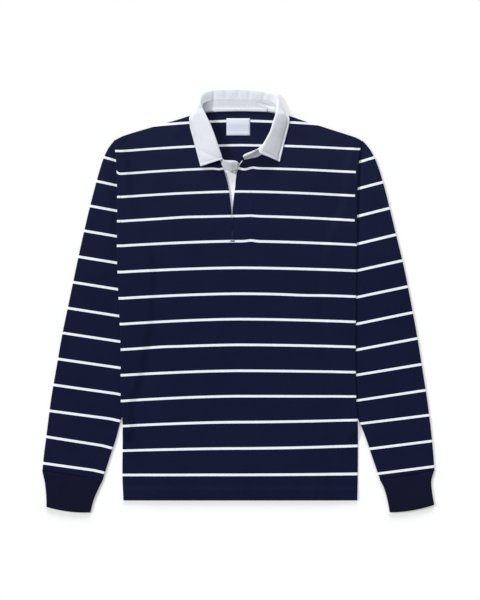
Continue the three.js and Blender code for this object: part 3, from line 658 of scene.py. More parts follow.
# %% Knit, twill and yarn groups
def knit_group():
    """Columns of V loops: a height from 0 to 1."""
    group, start, end = new_group(
        "Knit loops",
        [("Cloth", "NodeSocketVector", None),
         ("Wale", "NodeSocketFloat", 0.0013), ("Course", "NodeSocketFloat", 0.001)],
        [("Height", "NodeSocketFloat")],
    )
    split = group.nodes.new("ShaderNodeSeparateXYZ")
    group.links.new(start.outputs["Cloth"], split.inputs[0])
    across = math_node(group, "DIVIDE", split.outputs["X"], start.outputs["Wale"])
    up = math_node(group, "DIVIDE", split.outputs["Y"], start.outputs["Course"])
    fold = math_node(group, "PINGPONG", across, 0.5)
    column = math_node(group, "SINE", math_node(group, "MULTIPLY", fold, math.tau))
    slanted = math_node(group, "ADD", up, math_node(group, "MULTIPLY", fold, 1.3))
    loop = math_node(group, "SINE", math_node(group, "MULTIPLY", slanted, math.tau))
    loop = math_node(group, "MULTIPLY_ADD", loop, 0.28, 0.3)
    height = math_node(group, "MULTIPLY_ADD", column, 0.42, loop)
    group.links.new(height, end.inputs["Height"])
    return group


def twill_group():
    """Slanting ribs of twill: a height from 0 to 1."""
    group, start, end = new_group(
        "Twill ribs",
        [("Cloth", "NodeSocketVector", None), ("Rib", "NodeSocketFloat", 0.0011)],
        [("Height", "NodeSocketFloat")],
    )
    split = group.nodes.new("ShaderNodeSeparateXYZ")
    group.links.new(start.outputs["Cloth"], split.inputs[0])
    slant = math_node(group, "MULTIPLY_ADD", split.outputs["Y"], 1.7, split.outputs["X"])
    turns = math_node(group, "DIVIDE", slant, start.outputs["Rib"])
    rib = math_node(group, "SINE", math_node(group, "MULTIPLY", turns, math.tau))
    threads = math_node(group, "DIVIDE", split.outputs["X"], start.outputs["Rib"])
    thread = math_node(group, "SINE", math_node(group, "MULTIPLY", threads, math.tau * 2))
    height = math_node(group, "MULTIPLY_ADD", rib, 0.35, 0.5)
    height = math_node(group, "MULTIPLY_ADD", thread, 0.12, height)
    group.links.new(height, end.inputs["Height"])
    return group


def yarn_group():
    """Unevenness of dyed and washed cotton yarn: a value round 0.5."""
    group, start, end = new_group(
        "Washed yarn",
        [("Place", "NodeSocketVector", None)],
        [("Value", "NodeSocketFloat"), ("Fuzz", "NodeSocketFloat")],
    )
    broad = noise_node(group, start.outputs["Place"], 16, 3)
    fine = noise_node(group, start.outputs["Place"], 240, 4)
    value = math_node(group, "MULTIPLY_ADD", fine, 0.5, math_node(group, "MULTIPLY", broad, 0.5))
    group.links.new(value, end.inputs["Value"])
    group.links.new(noise_node(group, start.outputs["Place"], 900, 2), end.inputs["Fuzz"])
    return group


knit_loops, twill_ribs, washed_yarn = knit_group(), twill_group(), yarn_group()
print("Shared node groups:", [g.name for g in bpy.data.node_groups])

# %% [markdown]
# ## Finishes
# Cotton jersey is matt with a faint soft sheen, and its navy varies a little from yarn to yarn.
# The stripe mask mixes in the white yarn. The twill is a cooler white with a fine rib.

# %% Materials
def start_material(name, roughness, sheen, sheen_roughness):
    """A material with the dull surface that all the shirt's cloths share."""
    material = bpy.data.materials.new(name)
    material.use_nodes = True
    tree = material.node_tree
    shader = tree.nodes["Principled BSDF"]
    shader.inputs["Roughness"].default_value = roughness
    shader.inputs["Sheen Weight"].default_value = sheen
    shader.inputs["Sheen Roughness"].default_value = sheen_roughness
    shader.inputs["Specular IOR Level"].default_value = 0.07
    return material, tree, shader


def uv_output(tree):
    node = tree.nodes.new("ShaderNodeUVMap")
    node.uv_map = "Cloth"
    return node.outputs["UV"]


def object_output(tree):
    return tree.nodes.new("ShaderNodeTexCoord").outputs["Object"]


def place_group(tree, group, **inputs):
    node = tree.nodes.new("ShaderNodeGroup")
    node.node_tree = group
    for label, value in inputs.items():
        connect(tree, value, node.inputs[label])
    return node


def bump(tree, shader, height, distance, strength=1.0):
    node = tree.nodes.new("ShaderNodeBump")
    node.inputs["Distance"].default_value = distance
    node.inputs["Strength"].default_value = strength
    tree.links.new(height, node.inputs["Height"])
    tree.links.new(node.outputs["Normal"], shader.inputs["Normal"])


NAVY = (0.0030, 0.0050, 0.0230, 1)
NAVY_LIGHT = (0.0075, 0.0105, 0.0370, 1)
# Painted light: a lighter navy, mixed in up the body towards the shoulders, stands in for light falling more on
# the upper body.
NAVY_PAINTED_LIGHT = (0.0110, 0.0160, 0.0440, 1)
PAINTED_LIGHT_LOW_Y, PAINTED_LIGHT_HIGH_Y, PAINTED_LIGHT_SHARE = -0.05, 0.36, 0.55
STRIPE_WHITE = (0.90, 0.93, 0.99, 1)
STRIPE_SHADE = (0.78, 0.82, 0.92, 1)
RIB_NAVY = (0.0035, 0.0040, 0.0170, 1)
RIB_LIGHT = (0.0080, 0.0088, 0.0280, 1)
TWILL_WHITE = (0.76, 0.785, 0.845, 1)
TWILL_SHADE = (0.68, 0.705, 0.77, 1)
# Painted light: a lighter copy of the twill, for the under placket that lies in shade between the front's edges.
PAINTED_LIGHTER_WHITE = (0.90, 0.92, 0.97, 1)
PAINTED_LIGHTER_SHADE = (0.82, 0.84, 0.90, 1)
LABEL_WHITE = (0.75, 0.775, 0.89, 1)
LABEL_SHADE = (0.66, 0.68, 0.80, 1)


def jersey_material():
    material, tree, shader = start_material("Striped jersey", 0.95, 0.02, 0.5)
    yarn = place_group(tree, washed_yarn, Place=object_output(tree))
    knit = place_group(tree, knit_loops, Cloth=uv_output(tree))
    base = mix_colour(tree, yarn.outputs["Value"], NAVY, NAVY_LIGHT)
    height_up = tree.nodes.new("ShaderNodeSeparateXYZ")
    tree.links.new(object_output(tree), height_up.inputs[0])
    # Painted light: the navy is mixed towards its lighter copy from the middle of the body up to the shoulders.
    upper_painted_light = map_range(tree, height_up.outputs["Y"], PAINTED_LIGHT_LOW_Y, PAINTED_LIGHT_HIGH_Y, 0.0, PAINTED_LIGHT_SHARE)
    base = mix_colour(tree, upper_painted_light, base, NAVY_PAINTED_LIGHT)
    stripe = tree.nodes.new("ShaderNodeAttribute")
    stripe.attribute_name = "stripe"
    ragged = math_node(tree, "MULTIPLY_ADD", yarn.outputs["Fuzz"], 0.008, stripe.outputs["Fac"])
    away = math_node(tree, "PINGPONG", math_node(tree, "ADD", ragged, -0.004), 0.5)
    half = STRIPE_WIDTH / 2 / STRIPE_PITCH
    mask = map_range(tree, away, half - 0.006, half + 0.006, 1.0, 0.0)
    hidden = tree.nodes.new("ShaderNodeAttribute")
    hidden.attribute_name = "turned_in"
    shown = map_range(tree, hidden.outputs["Fac"], 0.4, 0.6, 1.0, 0.0)
    mask = math_node(tree, "MULTIPLY", mask, shown)
    white = mix_colour(tree, knit.outputs["Height"], STRIPE_SHADE, STRIPE_WHITE)
    tree.links.new(mix_colour(tree, mask, base, white), shader.inputs["Base Color"])
    height = math_node(tree, "MULTIPLY_ADD", yarn.outputs["Fuzz"], 0.5, knit.outputs["Height"])
    bump(tree, shader, height, 0.00022)
    return material


def rib_material():
    material, tree, shader = start_material("Rib knit", 0.95, 0.02, 0.5)
    yarn = place_group(tree, washed_yarn, Place=object_output(tree))
    knit = place_group(tree, knit_loops, Cloth=uv_output(tree), Wale=0.0012, Course=0.0011)
    base = mix_colour(tree, yarn.outputs["Value"], RIB_NAVY, RIB_LIGHT)
    tree.links.new(base, shader.inputs["Base Color"])
    height = math_node(tree, "MULTIPLY_ADD", yarn.outputs["Fuzz"], 0.5, knit.outputs["Height"])
    bump(tree, shader, height, 0.0002)
    return material


def woven_material(name, white, shade, rib):
    material, tree, shader = start_material(name, 0.82, 0.08, 0.4)
    yarn = place_group(tree, washed_yarn, Place=object_output(tree))
    weave = place_group(tree, twill_ribs, Cloth=uv_output(tree), Rib=rib)
    worn = math_node(tree, "MULTIPLY", yarn.outputs["Value"], weave.outputs["Height"])
    tree.links.new(mix_colour(tree, worn, white, shade), shader.inputs["Base Color"])
    height = math_node(tree, "MULTIPLY_ADD", yarn.outputs["Fuzz"], 0.4, weave.outputs["Height"])
    bump(tree, shader, height, 0.00012)
    return material


def thread_material(name, colour, shade):
    material, tree, shader = start_material(name, 0.6, 0.15, 0.35)
    yarn = place_group(tree, washed_yarn, Place=object_output(tree))
    tree.links.new(mix_colour(tree, yarn.outputs["Fuzz"], colour, shade), shader.inputs["Base Color"])
    bump(tree, shader, yarn.outputs["Fuzz"], 0.0001)
    return material


def rubber_material():
    material, tree, shader = start_material("Rubber", 0.5, 0, 0.5)
    shader.inputs["Specular IOR Level"].default_value = 0.4
    yarn = place_group(tree, washed_yarn, Place=object_output(tree))
    worn = mix_colour(tree, yarn.outputs["Value"], (0.60, 0.62, 0.58, 1), (0.50, 0.52, 0.48, 1))
    tree.links.new(worn, shader.inputs["Base Color"])
    bump(tree, shader, yarn.outputs["Fuzz"], 0.00005)
    return material


jersey = jersey_material()
rib = rib_material()
twill = woven_material("White twill", TWILL_WHITE, TWILL_SHADE, 0.0011)
# Painted light: the under placket's twill is painted lighter to make up for the shade it lies in.
twill_painted_lighter = woven_material("Twill painted lighter", PAINTED_LIGHTER_WHITE, PAINTED_LIGHTER_SHADE, 0.0011)
woven_label = woven_material("Woven label", LABEL_WHITE, LABEL_SHADE, 0.0006)
navy_thread = thread_material("Navy thread", (0.006, 0.009, 0.031, 1), (0.010, 0.013, 0.042, 1))
white_thread = thread_material("White thread", (0.8, 0.82, 0.88, 1), (0.66, 0.68, 0.74, 1))
rubber = rubber_material()
print("Finishes:", [m.name for m in (jersey, rib, twill, twill_painted_lighter, woven_label, rubber)])

# %% [markdown]
# ## The front and back panels
# Each panel is cut in one piece. The front has a slit down from the neck, so it is placed as
# two halves that share their points below the slit. A half runs from its side edge to the
# middle, and its rows follow the table from the hem to the shoulder.

# %% Body panels
HALF_COLUMNS = 56
ROWS_PER_STEP = 8
ROW_EDGE = 0.06
CLOSED_SLIT = 0.04
SLIT_GLINT = dict(y=124, reach=4, half=0.5)
BACK_CALM = dict(side=(60, 120), shoulder=(40, 80), hem=(10, 60), share=0.5)

row_places = [k / ROWS_PER_STEP for k in range(TOP_ROW * ROWS_PER_STEP + 1)]
row_places = [0, ROW_EDGE / 2, ROW_EDGE] + row_places[1:-1]
row_places += [TOP_ROW - 3 * ROW_EDGE / 2, TOP_ROW - ROW_EDGE / 2, TOP_ROW]
side_places = [0, 0.25, 0.8, 1.6, SEAM_ROUND]
seam_places = [3.8, 4.1, 4.4, 4.7, 5, 5.3, 5.6]    # close columns, so stripes end crisply


def shoulder_share(x):
    """How far up the slope of the shoulder a place lies: 0 at the tip, 1 at the neck."""
    return (shoulder_y(x) - SHOULDER_TIP_Y) / (BACK_NECK_Y - SHOULDER_TIP_Y)


def half_row(row_at, side, middle_x, middle_y):
    """Places of one row from the side edge to the middle."""
    side_y = along([row["side"] for row in body_rows], row_at)
    side_x = read(body_sides, "y", side, side_y)
    inward = 1 if side == "left" else -1
    width = abs(middle_x - side_x)
    rest = spaced(width - SEAM_ROUND, HALF_COLUMNS, edge_end=0.6)[1:]
    offsets = side_places + seam_places + [SEAM_ROUND + place for place in rest]
    low, high = shoulder_share(side_x), shoulder_share(middle_x)
    places = []
    for offset in offsets:
        x = side_x + inward * offset
        share = (shoulder_share(x) - low) / (high - low)
        places.append((x, mix(side_y, middle_y, share)))
    return places


def opening_edge(side, row_at):
    """The edge of the front opening; below the slit both sides are at one place."""
    x = along([row[side + "_x"] for row in body_rows], row_at)
    y = along([row[side + "_y"] for row in body_rows], row_at)
    if y <= SLIT_BOTTOM_Y:
        return SLIT_X, y
    glint = math.exp(-((y - SLIT_GLINT["y"]) / SLIT_GLINT["reach"]) ** 2)
    apart = max(CLOSED_SLIT, SLIT_GLINT["half"] * glint)
    return (min(x, SLIT_X - apart), y) if side == "left" else (max(x, SLIT_X + apart), y)


def make_front_half(side):
    rows = [half_row(row_at, side, *opening_edge(side, row_at)) for row_at in row_places]
    if side == "right":
        rows = [list(reversed(row)) for row in rows]

    def place(column, row):
        x, y = rows[row][column]
        number = body_stripe(x, y)
        return Vector((x, y, front_top(x, y))), (x, number * STRIPE_PITCH)

    size = len(rows[0]) - 1, len(rows) - 1
    return cloth_grid("front_" + side, *size, place, body_stripe, plain=turned_in)


def join(name, *parts):
    """One object from several, with points that lie together merged."""
    bm = bmesh.new()
    for part in parts:
        bm.from_mesh(part.data)
        bpy.data.objects.remove(part)
    bmesh.ops.remove_doubles(bm, verts=bm.verts, dist=0.00002)
    return bm_to_object(name, bm)


front = join("front_cloth", make_front_half("left"), make_front_half("right"))
dress(wall(front, JERSEY), jersey, "jersey", "front")


def make_back_half(side):
    centre_y = [row["back"] for row in body_rows]
    rows = [half_row(row_at, side, SLIT_X, along(centre_y, row_at)) for row_at in row_places]
    if side == "right":
        rows = [list(reversed(row)) for row in rows]

    def place(column, row):
        x, y = rows[row][column]
        inward, below = max(from_side(x, y), 0), max(shoulder_y(x) - y, 0)
        roll = max(roll_at_edge(inward), roll_at_edge(below), roll_at_edge(y - HEM_Y))
        calm = ease(*BACK_CALM["side"], inward) * ease(*BACK_CALM["shoulder"], below)
        calm *= ease(*BACK_CALM["hem"], y - HEM_Y)
        soft = max(crumple(x, y, 5), 0) * BACK_CALM["share"] * calm
        z = lift_under_back(x, y) + roll * JERSEY + soft
        return Vector((x, y, z)), (x, body_stripe(x, y) * STRIPE_PITCH)

    size = len(rows[0]) - 1, len(rows) - 1
    return cloth_grid("back_" + side, *size, place, body_stripe, turned=True)


back = join("back_cloth", make_back_half("left"), make_back_half("right"))
dress(wall(back, JERSEY), jersey, "jersey", "back")

# %% [markdown]
# ## Sleeves
# A sleeve is a tube lying flat, folded along its outer edge and along its underarm seam. Its
# inner part is tucked under the body. Each ring runs over the top from the left fold to the
# right one and back underneath, and the grid's two long edges are merged into a closed tube.

# %% Sleeve tubes
sleeve_rings = table(
    "y drop",
    (-314.6, 17),
    (-290, 19),
    (-262, 20),
    (-205, 20),
    (-140, 21),
    (-70, 22),
    (0, 22),
    (70, 22),
    (140, 22),
    (172, 22),
    (202, 21),
    (228, 19),
    (250, 16),
    (268, 13),
    (281, 10),
    (290, 7),
    (296.9, 4.5),
)
SLEEVE_RING_STEP = 5
SLEEVE_FOLD_HEIGHT = 4.4
SLEEVE_CROWN = 1.1
ACROSS_SLEEVE = 34
FOLD_STEPS = 5
SEAM_OUTWARD = 3
SMALL_HEAD = dict(low=262, high=284)
TUCKED_FROM = dict(low=-256, high=-228)
CROWN_POWER = 1.3
UNDERSIDE_UV = 400
SLEEVE_WALL = JERSEY * 0.9


def sleeve_shares(width, radius):
    """Places across a sleeve, close together round its two folds."""
    fold = [radius * (1 - math.cos(math.pi / 2 * k / FOLD_STEPS)) for k in range(FOLD_STEPS)]
    flat = [mix(radius, width - radius, k / ACROSS_SLEEVE) for k in range(ACROSS_SLEEVE + 1)]
    places = fold + flat + [width - place for place in reversed(fold)]
    return [place / width for place in places]


def close_ring(upper, lower, side):
    """One ring over the top and back underneath, turned so that its faces look outward."""
    if side == "right":
        return list(reversed(upper)) + lower[1:]
    return upper + list(reversed(lower))[1:]


def make_sleeve(side):
    stripes = left_sleeve_stripes if side == "left" else right_sleeve_stripes
    low_y, high_y = sleeve_rings[0]["y"], sleeve_rings[-1]["y"]
    count = round((high_y - low_y) / SLEEVE_RING_STEP)
    rings = []
    for k in range(count + 1):
        y = mix(low_y, high_y, k / count)
        inner_y = y - read(sleeve_rings, "y", "drop", y)
        outer = Vector((read(sleeve_folds, "y", side + "_outer", y), y, 0))
        inner = Vector((read(sleeve_folds, "y", side + "_inner", inner_y), inner_y, 0))
        width = (outer - inner).length
        radius = min(SLEEVE_FOLD_HEIGHT / 2, width / 5)
        outward = SEAM_OUTWARD if side == "right" else -SEAM_OUTWARD
        edge_x = read(body_sides, "y", side, (y + inner_y) / 2) + outward
        meets = (edge_x - outer.x) / (inner.x - outer.x)
        tucked = ease(TUCKED_FROM["low"], TUCKED_FROM["high"], inner_y)
        meets = min(max(meets, 3 * radius / width), 1 - 3 * radius / width)
        small = ease(SMALL_HEAD["low"], SMALL_HEAD["high"], y)
        upper, lower = [], []
        for share in sleeve_shares(width, radius):
            place = outer.lerp(inner, share)
            free = SLEEVE_FOLD_HEIGHT + SLEEVE_CROWN * math.sin(math.pi * share)
            shown = min(share / meets, 1)
            under = mix(SLEEVE_FOLD_HEIGHT, SLEEVE_TUCKED, shown)
            under += SLEEVE_CROWN * math.sin(math.pi * shown) ** CROWN_POWER
            height = mix(mix(free, under, tucked), SLEEVE_TUCKED, small)
            soft = crease_rise(sleeve_creases, place.x, place.y) + crumple(place.x, place.y, 3)
            show = math.sin(math.pi * min(share / mix(1, meets, tucked), 1)) ** 0.5
            off_fold = min(share, 1 - share) * width
            dip = ARMHOLE_DIP["depth"] * ease(ARMHOLE_DIP["low"], ARMHOLE_DIP["high"], y)
            dip *= math.exp(-((share - meets) * width / ARMHOLE_DIP["width"]) ** 2)
            turn = min(off_fold / radius, 1)
            round_off = math.sqrt(1 - (1 - turn) ** 2)
            top = height / 2 * (1 + round_off) + (soft * show - dip) * round_off * (1 - small)
            bottom = height / 2 * (1 - round_off)
            upper.append(Vector((place.x, place.y, top)))
            lower.append(Vector((place.x, place.y, bottom)))
        rings.append(close_ring(upper, lower, side))

    def place(column, row):
        point = rings[row][column]
        number = sleeve_stripe(stripes, point.x, point.y)
        shift = UNDERSIDE_UV if column > len(rings[row]) / 2 else 0
        return point, (point.x + shift, number * STRIPE_PITCH)

    def stripe(x, y):
        return sleeve_stripe(stripes, x, y)

    name = "sleeve_" + side + "_cloth"
    piece = cloth_grid(name, len(rings[0]) - 1, count, place, stripe)
    return dress(wall(piece, SLEEVE_WALL), jersey, "jersey", "sleeve_" + side)


sleeve_pieces = {side: make_sleeve(side) for side in ("left", "right")}

# %% [markdown]
# ## Rib cuffs
# Rib knit stands up in fine columns that close the wrist. The columns are real ridges here, as
# they show at the cuff's edge; bump alone would leave that edge smooth. The cuff is a tube like
# the sleeve, and its outer points rise and fall once for each rib.

# %% Cuff tubes
cuff_rows = dict(
    left=[
        dict(outer_x=-363.4, outer_y=-314, inner_x=-251, inner_y=-331),
        dict(outer_x=-358.4, outer_y=-336, inner_x=-258.5, inner_y=-346),
        dict(outer_x=-356, outer_y=-360, inner_x=-268, inner_y=-368),
        dict(outer_x=-355.5, outer_y=-381, inner_x=-274, inner_y=-391),
    ],
    right=[
        dict(outer_x=362, outer_y=-314, inner_x=261.5, inner_y=-331),
        dict(outer_x=357, outer_y=-333, inner_x=269, inner_y=-345),
        dict(outer_x=359, outer_y=-357, inner_x=275.5, inner_y=-367),
        dict(outer_x=362.5, outer_y=-377, inner_x=280, inner_y=-391),
    ],
)
CUFF_HEIGHT = 5.6
CUFF_BOW = 3.5
CUFF_RIBS = 44
POINTS_PER_RIB = 4
CUFF_LENGTH_STEPS = 16
RIB_DEPTH = 0.42
CUFF_WALL = 1.1
CUFF_LENGTH = 70
CUFF_ENDS = dict(wrist=0.22, sleeve=0.25, cell=0.012)
CUFF_SQUARE = dict(power=14, fill=0.3)


def make_cuff(side):
    rows = cuff_rows[side]
    steps = CUFF_RIBS * POINTS_PER_RIB
    half = CUFF_HEIGHT / 2
    inside = [k / CUFF_LENGTH_STEPS for k in range(1, CUFF_LENGTH_STEPS)]
    lengths = [0, CUFF_ENDS["cell"], *inside, 1 - CUFF_ENDS["cell"], 1]
    rings = []
    for length in lengths:
        at = length * (len(rows) - 1)
        outer = Vector([along([row["outer_" + k] for row in rows], at) for k in "xy"] + [0])
        inner = Vector([along([row["inner_" + k] for row in rows], at) for k in "xy"] + [0])
        across = (inner - outer).normalized()
        edge = 1 - CUFF_ENDS["wrist"] * roll_at_edge((1 - length) * CUFF_LENGTH)
        edge -= CUFF_ENDS["sleeve"] * roll_at_edge(length * CUFF_LENGTH)
        upper, lower = [], []
        for k in range(steps + 1):
            angle = math.pi * k / steps
            share = mix(k / steps, (1 - math.cos(angle)) / 2, 0.12)
            rise = (1 - abs(2 * share - 1) ** CUFF_SQUARE["power"]) ** CUFF_SQUARE["fill"]
            rib_wave = 0.5 - 0.5 * math.cos(math.tau * k / POINTS_PER_RIB)
            depth = RIB_DEPTH * rib_wave * min(rise * 1.4, 1)
            place = outer.lerp(inner, share)
            place.y -= CUFF_BOW * length * (1 - (2 * share - 1) ** 2)
            soft = crumple(place.x, place.y, 7) * 0.9 * rise
            if k in (0, steps):
                corner = Vector((place.x, place.y, half))
                upper.append(corner)
                lower.append(corner)
                continue
            upper.append(Vector((place.x, place.y, half + (half * rise - depth) * edge + soft)))
            lower.append(Vector((place.x, place.y, half - (half * rise - depth) * edge)))
        rings.append(close_ring(upper, lower, side))
    rings.reverse()

    def place(column, row):
        point = rings[row][column]
        return point, (point.x, point.y)

    name = "cuff_" + side + "_knit"
    piece = cloth_grid(name, len(rings[0]) - 1, len(rings) - 1, place)
    return dress(wall(piece, CUFF_WALL), rib, "rib", "cuff_" + side)


cuff_pieces = {side: make_cuff(side) for side in ("left", "right")}

# %% [markdown]
# ## The collar
# The collar is two pieces of twill: a stand sewn to the neck, and a fall that rolls over it
# and ends in two leaves. Both are placed through sections taken round the neck. Each section
# is a short smooth line, and the lines between two sections are read from their neighbours.

# %% Collar sections
collar_middle = dict(seam=(0, 352.3), top=(0, 371, 6.6), crest=(0, 391, 7.6), turn=(0, 393.2),
                     edge=(0, 333))
collar_back = dict(
    left=[
        dict(seam=(30, 351.8), top=(33, 371, 6.7), crest=(33.5, 390.4, 7.7), turn=(34.5, 392.4),
             edge=(22, 333)),
        dict(seam=(49, 351), top=(51, 370, 7.2), crest=(54, 388.6, 8.4), turn=(57, 391),
             edge=(40, 333)),
        dict(seam=(61, 350), top=(66, 364.5, 14), crest=(70.5, 382, 15.2), turn=(74, 385),
             edge=(54, 332.5)),
        dict(seam=(67.5, 347.5), top=(69.5, 358.5, 16.6), crest=(74, 371.5, 17.8),
             turn=(79.5, 369), edge=(68, 331)),
        dict(seam=(70, 342), top=(68.5, 352.5, 17.2), crest=(73, 362, 19), turn=(84.5, 356, 9.5),
             edge=(82, 330)),
    ],
    right=[
        dict(seam=(30, 351.8), top=(33, 370.6, 6.7), crest=(33.5, 388.3, 7.7), turn=(34.5, 390.3),
             edge=(22, 333)),
        dict(seam=(50, 351), top=(54, 368.8, 8), crest=(58, 383.4, 9), turn=(60.5, 386.4),
             edge=(40, 333)),
        dict(seam=(60, 350), top=(63.6, 363.5, 9.4), crest=(67.8, 377.6, 10.2), turn=(70.8, 380.8),
             edge=(54, 332.5)),
        dict(seam=(67, 347.5), top=(67.6, 358, 11.4), crest=(71.3, 369, 12.4), turn=(76.6, 367),
             edge=(66, 331)),
        dict(seam=(70, 342), top=(67.6, 352.5, 13.6), crest=(71, 361, 14.8), turn=(81.6, 355, 8),
             edge=(80, 330)),
    ],
)
collar_turn = dict(
    left=[
        dict(seam=(71, 337), top=(66.6, 348, 16.8), crest=(70.4, 355.5, 18.8),
             turn=(86.4, 348.5, 11), edge=(89.5, 341, 1.6)),
        dict(seam=(71, 332), top=(64.4, 344, 17.3), crest=(67.6, 350, 19.4),
             turn=(82.6, 345.5, 14.4), edge=(92.6, 340.4, 5.4)),
        dict(seam=(70, 327), top=(61.6, 339, 17.6), crest=(64.4, 343.5, 20.1),
             turn=(79, 340, 15.4), edge=(93.6, 335.5, 8.4)),
    ],
    right=[
        dict(seam=(71, 337), top=(66.9, 348, 15.4), crest=(69.6, 355, 16.6),
             turn=(83.4, 348.5, 9.5), edge=(86.6, 341, 1.4)),
        dict(seam=(71, 332), top=(65.6, 343.5, 16.8), crest=(68.2, 349.3, 18.4),
             turn=(81, 345.5, 13.6), edge=(89.8, 340.4, 4.4)),
        dict(seam=(70.6, 327), top=(64.2, 338.5, 17.6), crest=(66.8, 342.5, 20.1),
             turn=(78.6, 339, 15), edge=(91, 335.5, 7.8)),
    ],
)
collar_leaves = dict(
    left=[
        dict(seam=(67, 319), top=(56.6, 330, 18), crest=(59, 331, 20.8), edge=(92, 320)),
        dict(seam=(60.5, 301), top=(48.9, 311, 18.3), crest=(51.2, 311.5, 21), edge=(87.2, 302.5)),
        dict(seam=(51.5, 282), top=(41.1, 288.5, 18), crest=(43.3, 289, 20.8), edge=(82.3, 284)),
        dict(seam=(37.5, 262), top=(35.6, 271.5, 17.2), crest=(37.8, 272, 19.4), edge=(77.2, 265)),
        dict(seam=(30, 247), top=(31.6, 261, 15.2), crest=(33.8, 261, 17.4), edge=(73.1, 249)),
    ],
    right=[
        dict(seam=(70.5, 320), top=(61.6, 332, 18), crest=(63.9, 333, 20.8), edge=(90, 325)),
        dict(seam=(65, 304), top=(56.2, 314, 18.3), crest=(58.5, 314.5, 21), edge=(85.6, 307)),
        dict(seam=(56.5, 289), top=(48.4, 299, 18), crest=(50.7, 299.5, 20.8), edge=(81.2, 290)),
        dict(seam=(47, 276.5), top=(41.6, 288, 17.6), crest=(43.9, 286, 20.2), edge=(77.2, 273.5)),
        dict(seam=(33.5, 267.5), top=(34.4, 281.5, 17.2), crest=(36.6, 273, 19.2),
             edge=(73.4, 257.5)),
    ],
)
stand_ends = dict(
    left=[
        dict(seam=(18.5, 239, 3.9), top=(18, 255.4, 17.6), lip=(17.6, 259.6, 18)),
        dict(seam=(10, 238.3, 3.9), top=(9.2, 254.6, 17), lip=(8, 258.8, 17.3)),
        dict(seam=(6.2, 238.5, 3.9), top=(5.2, 251.6, 15), lip=(2.8, 255.2, 15)),
        dict(seam=(5.2, 239.5, 3.9), top=(3.6, 247.4, 10.5), lip=(1, 249, 10.2)),
    ],
    right=[
        dict(seam=(19.5, 264), top=(21.2, 272.6, 16.4), lip=(22.2, 276.6, 16.8)),
        dict(seam=(11, 262.6), top=(9.6, 267.8, 14.6), lip=(9.6, 271.4, 15)),
        dict(seam=(7.8, 262.3), top=(6.8, 265.6, 12.4), lip=(5.4, 267.6, 12.6)),
    ],
)
TWILL = 1.5
FALL_UNDER_Z = 0.8
LEAF_CROWN = 1.1
STAND_BACK_Z = 3.4
STAND_THICKNESS = 1.9
SECTIONS_ON_EDGE = 3
SEAM_GAP = 0.3
SEAM_RISE = 0.7
LIP_REACH = 0.15
ROLL_SHARE = 0.48
LEAF_SHARE = 0.45
BEYOND = dict(under=0.16, leaf=0.5, rise=0.25)
FALL_START = dict(on_edge=0.1, rise=0.9)


def top_near(x, y, reach=16):
    """Highest point of the front's cloth round a place."""
    spots = [(x, y)] + [
        (x + reach * math.cos(math.tau * k / 8), y + reach * math.sin(math.tau * k / 8))
        for k in range(8)
    ]
    return max(front_top(*spot) for spot in spots)


def finish_section(section, side, on_edge, under):
    """Gives a section its real places and the heights that it takes from the cloth below."""
    outward = -1 if side == "left" else 1

    def at(values, z):
        return Vector((COLLAR_CENTRE + outward * values[0], values[1], z))

    def own_z(name, otherwise):
        return section[name][2] if len(section[name]) == 3 else otherwise

    seam_x = COLLAR_CENTRE + outward * section["seam"][0]
    rest = STAND_BACK_Z if on_edge else top_near(seam_x, section["seam"][1]) + SEAM_GAP + SEAM_RISE
    done = dict(seam=at(section["seam"], own_z("seam", rest)), top=at(section["top"], section["top"][2]))
    if "lip" in section:
        done["lip"] = at(section["lip"], section["lip"][2])
        return done
    done["lip"] = done["top"] + (done["top"] - done["seam"]).normalized() * LIP_REACH
    edge_x = COLLAR_CENTRE + outward * section["edge"][0]
    on_front = top_near(edge_x, section["edge"][1], 8) + SEAM_GAP + TWILL / 2
    done["crest"] = at(section["crest"], section["crest"][2])
    done["edge"] = at(section["edge"], own_z("edge", FALL_UNDER_Z if under else on_front))
    if "turn" in section:
        middle_z = mix(FALL_UNDER_Z, section["crest"][2], ROLL_SHARE)
        done["turn"] = at(section["turn"], own_z("turn", middle_z))
    else:
        done["turn"] = done["crest"].lerp(done["edge"], LEAF_SHARE)
        done["turn"].z += LEAF_CROWN
    done["beyond"] = done["turn"].lerp(done["edge"], BEYOND["under" if under else "leaf"])
    if under:
        done["beyond"].z = FALL_UNDER_Z + BEYOND["rise"]
    if on_edge:
        done["start"] = done["top"] + (done["top"] - done["seam"]).normalized() * FALL_START["on_edge"]
    else:
        done["start"] = done["top"] + Vector((0, 0, FALL_START["rise"]))
    return done


def collar_half(side):
    """Sections of the fall from the middle of the back round to the end of a leaf."""
    behind = [collar_middle, *collar_back[side]]
    back_part = [finish_section(s, side, k < SECTIONS_ON_EDGE, True) for k, s in enumerate(behind)]
    turn_part = [finish_section(s, side, False, k == 0) for k, s in enumerate(collar_turn[side])]
    leaf_part = [finish_section(s, side, False, False) for s in collar_leaves[side]]
    return back_part + turn_part + leaf_part


fall_sections = collar_half("left")[:0:-1] + collar_half("right")
left_end = [finish_section(s, "left", False, False) for s in stand_ends["left"]]
right_end = [finish_section(s, "right", False, False) for s in stand_ends["right"]]
stand_sections = left_end[::-1] + fall_sections + right_end
print("Collar sections:", len(fall_sections), "in the fall and", len(stand_sections), "in the stand")


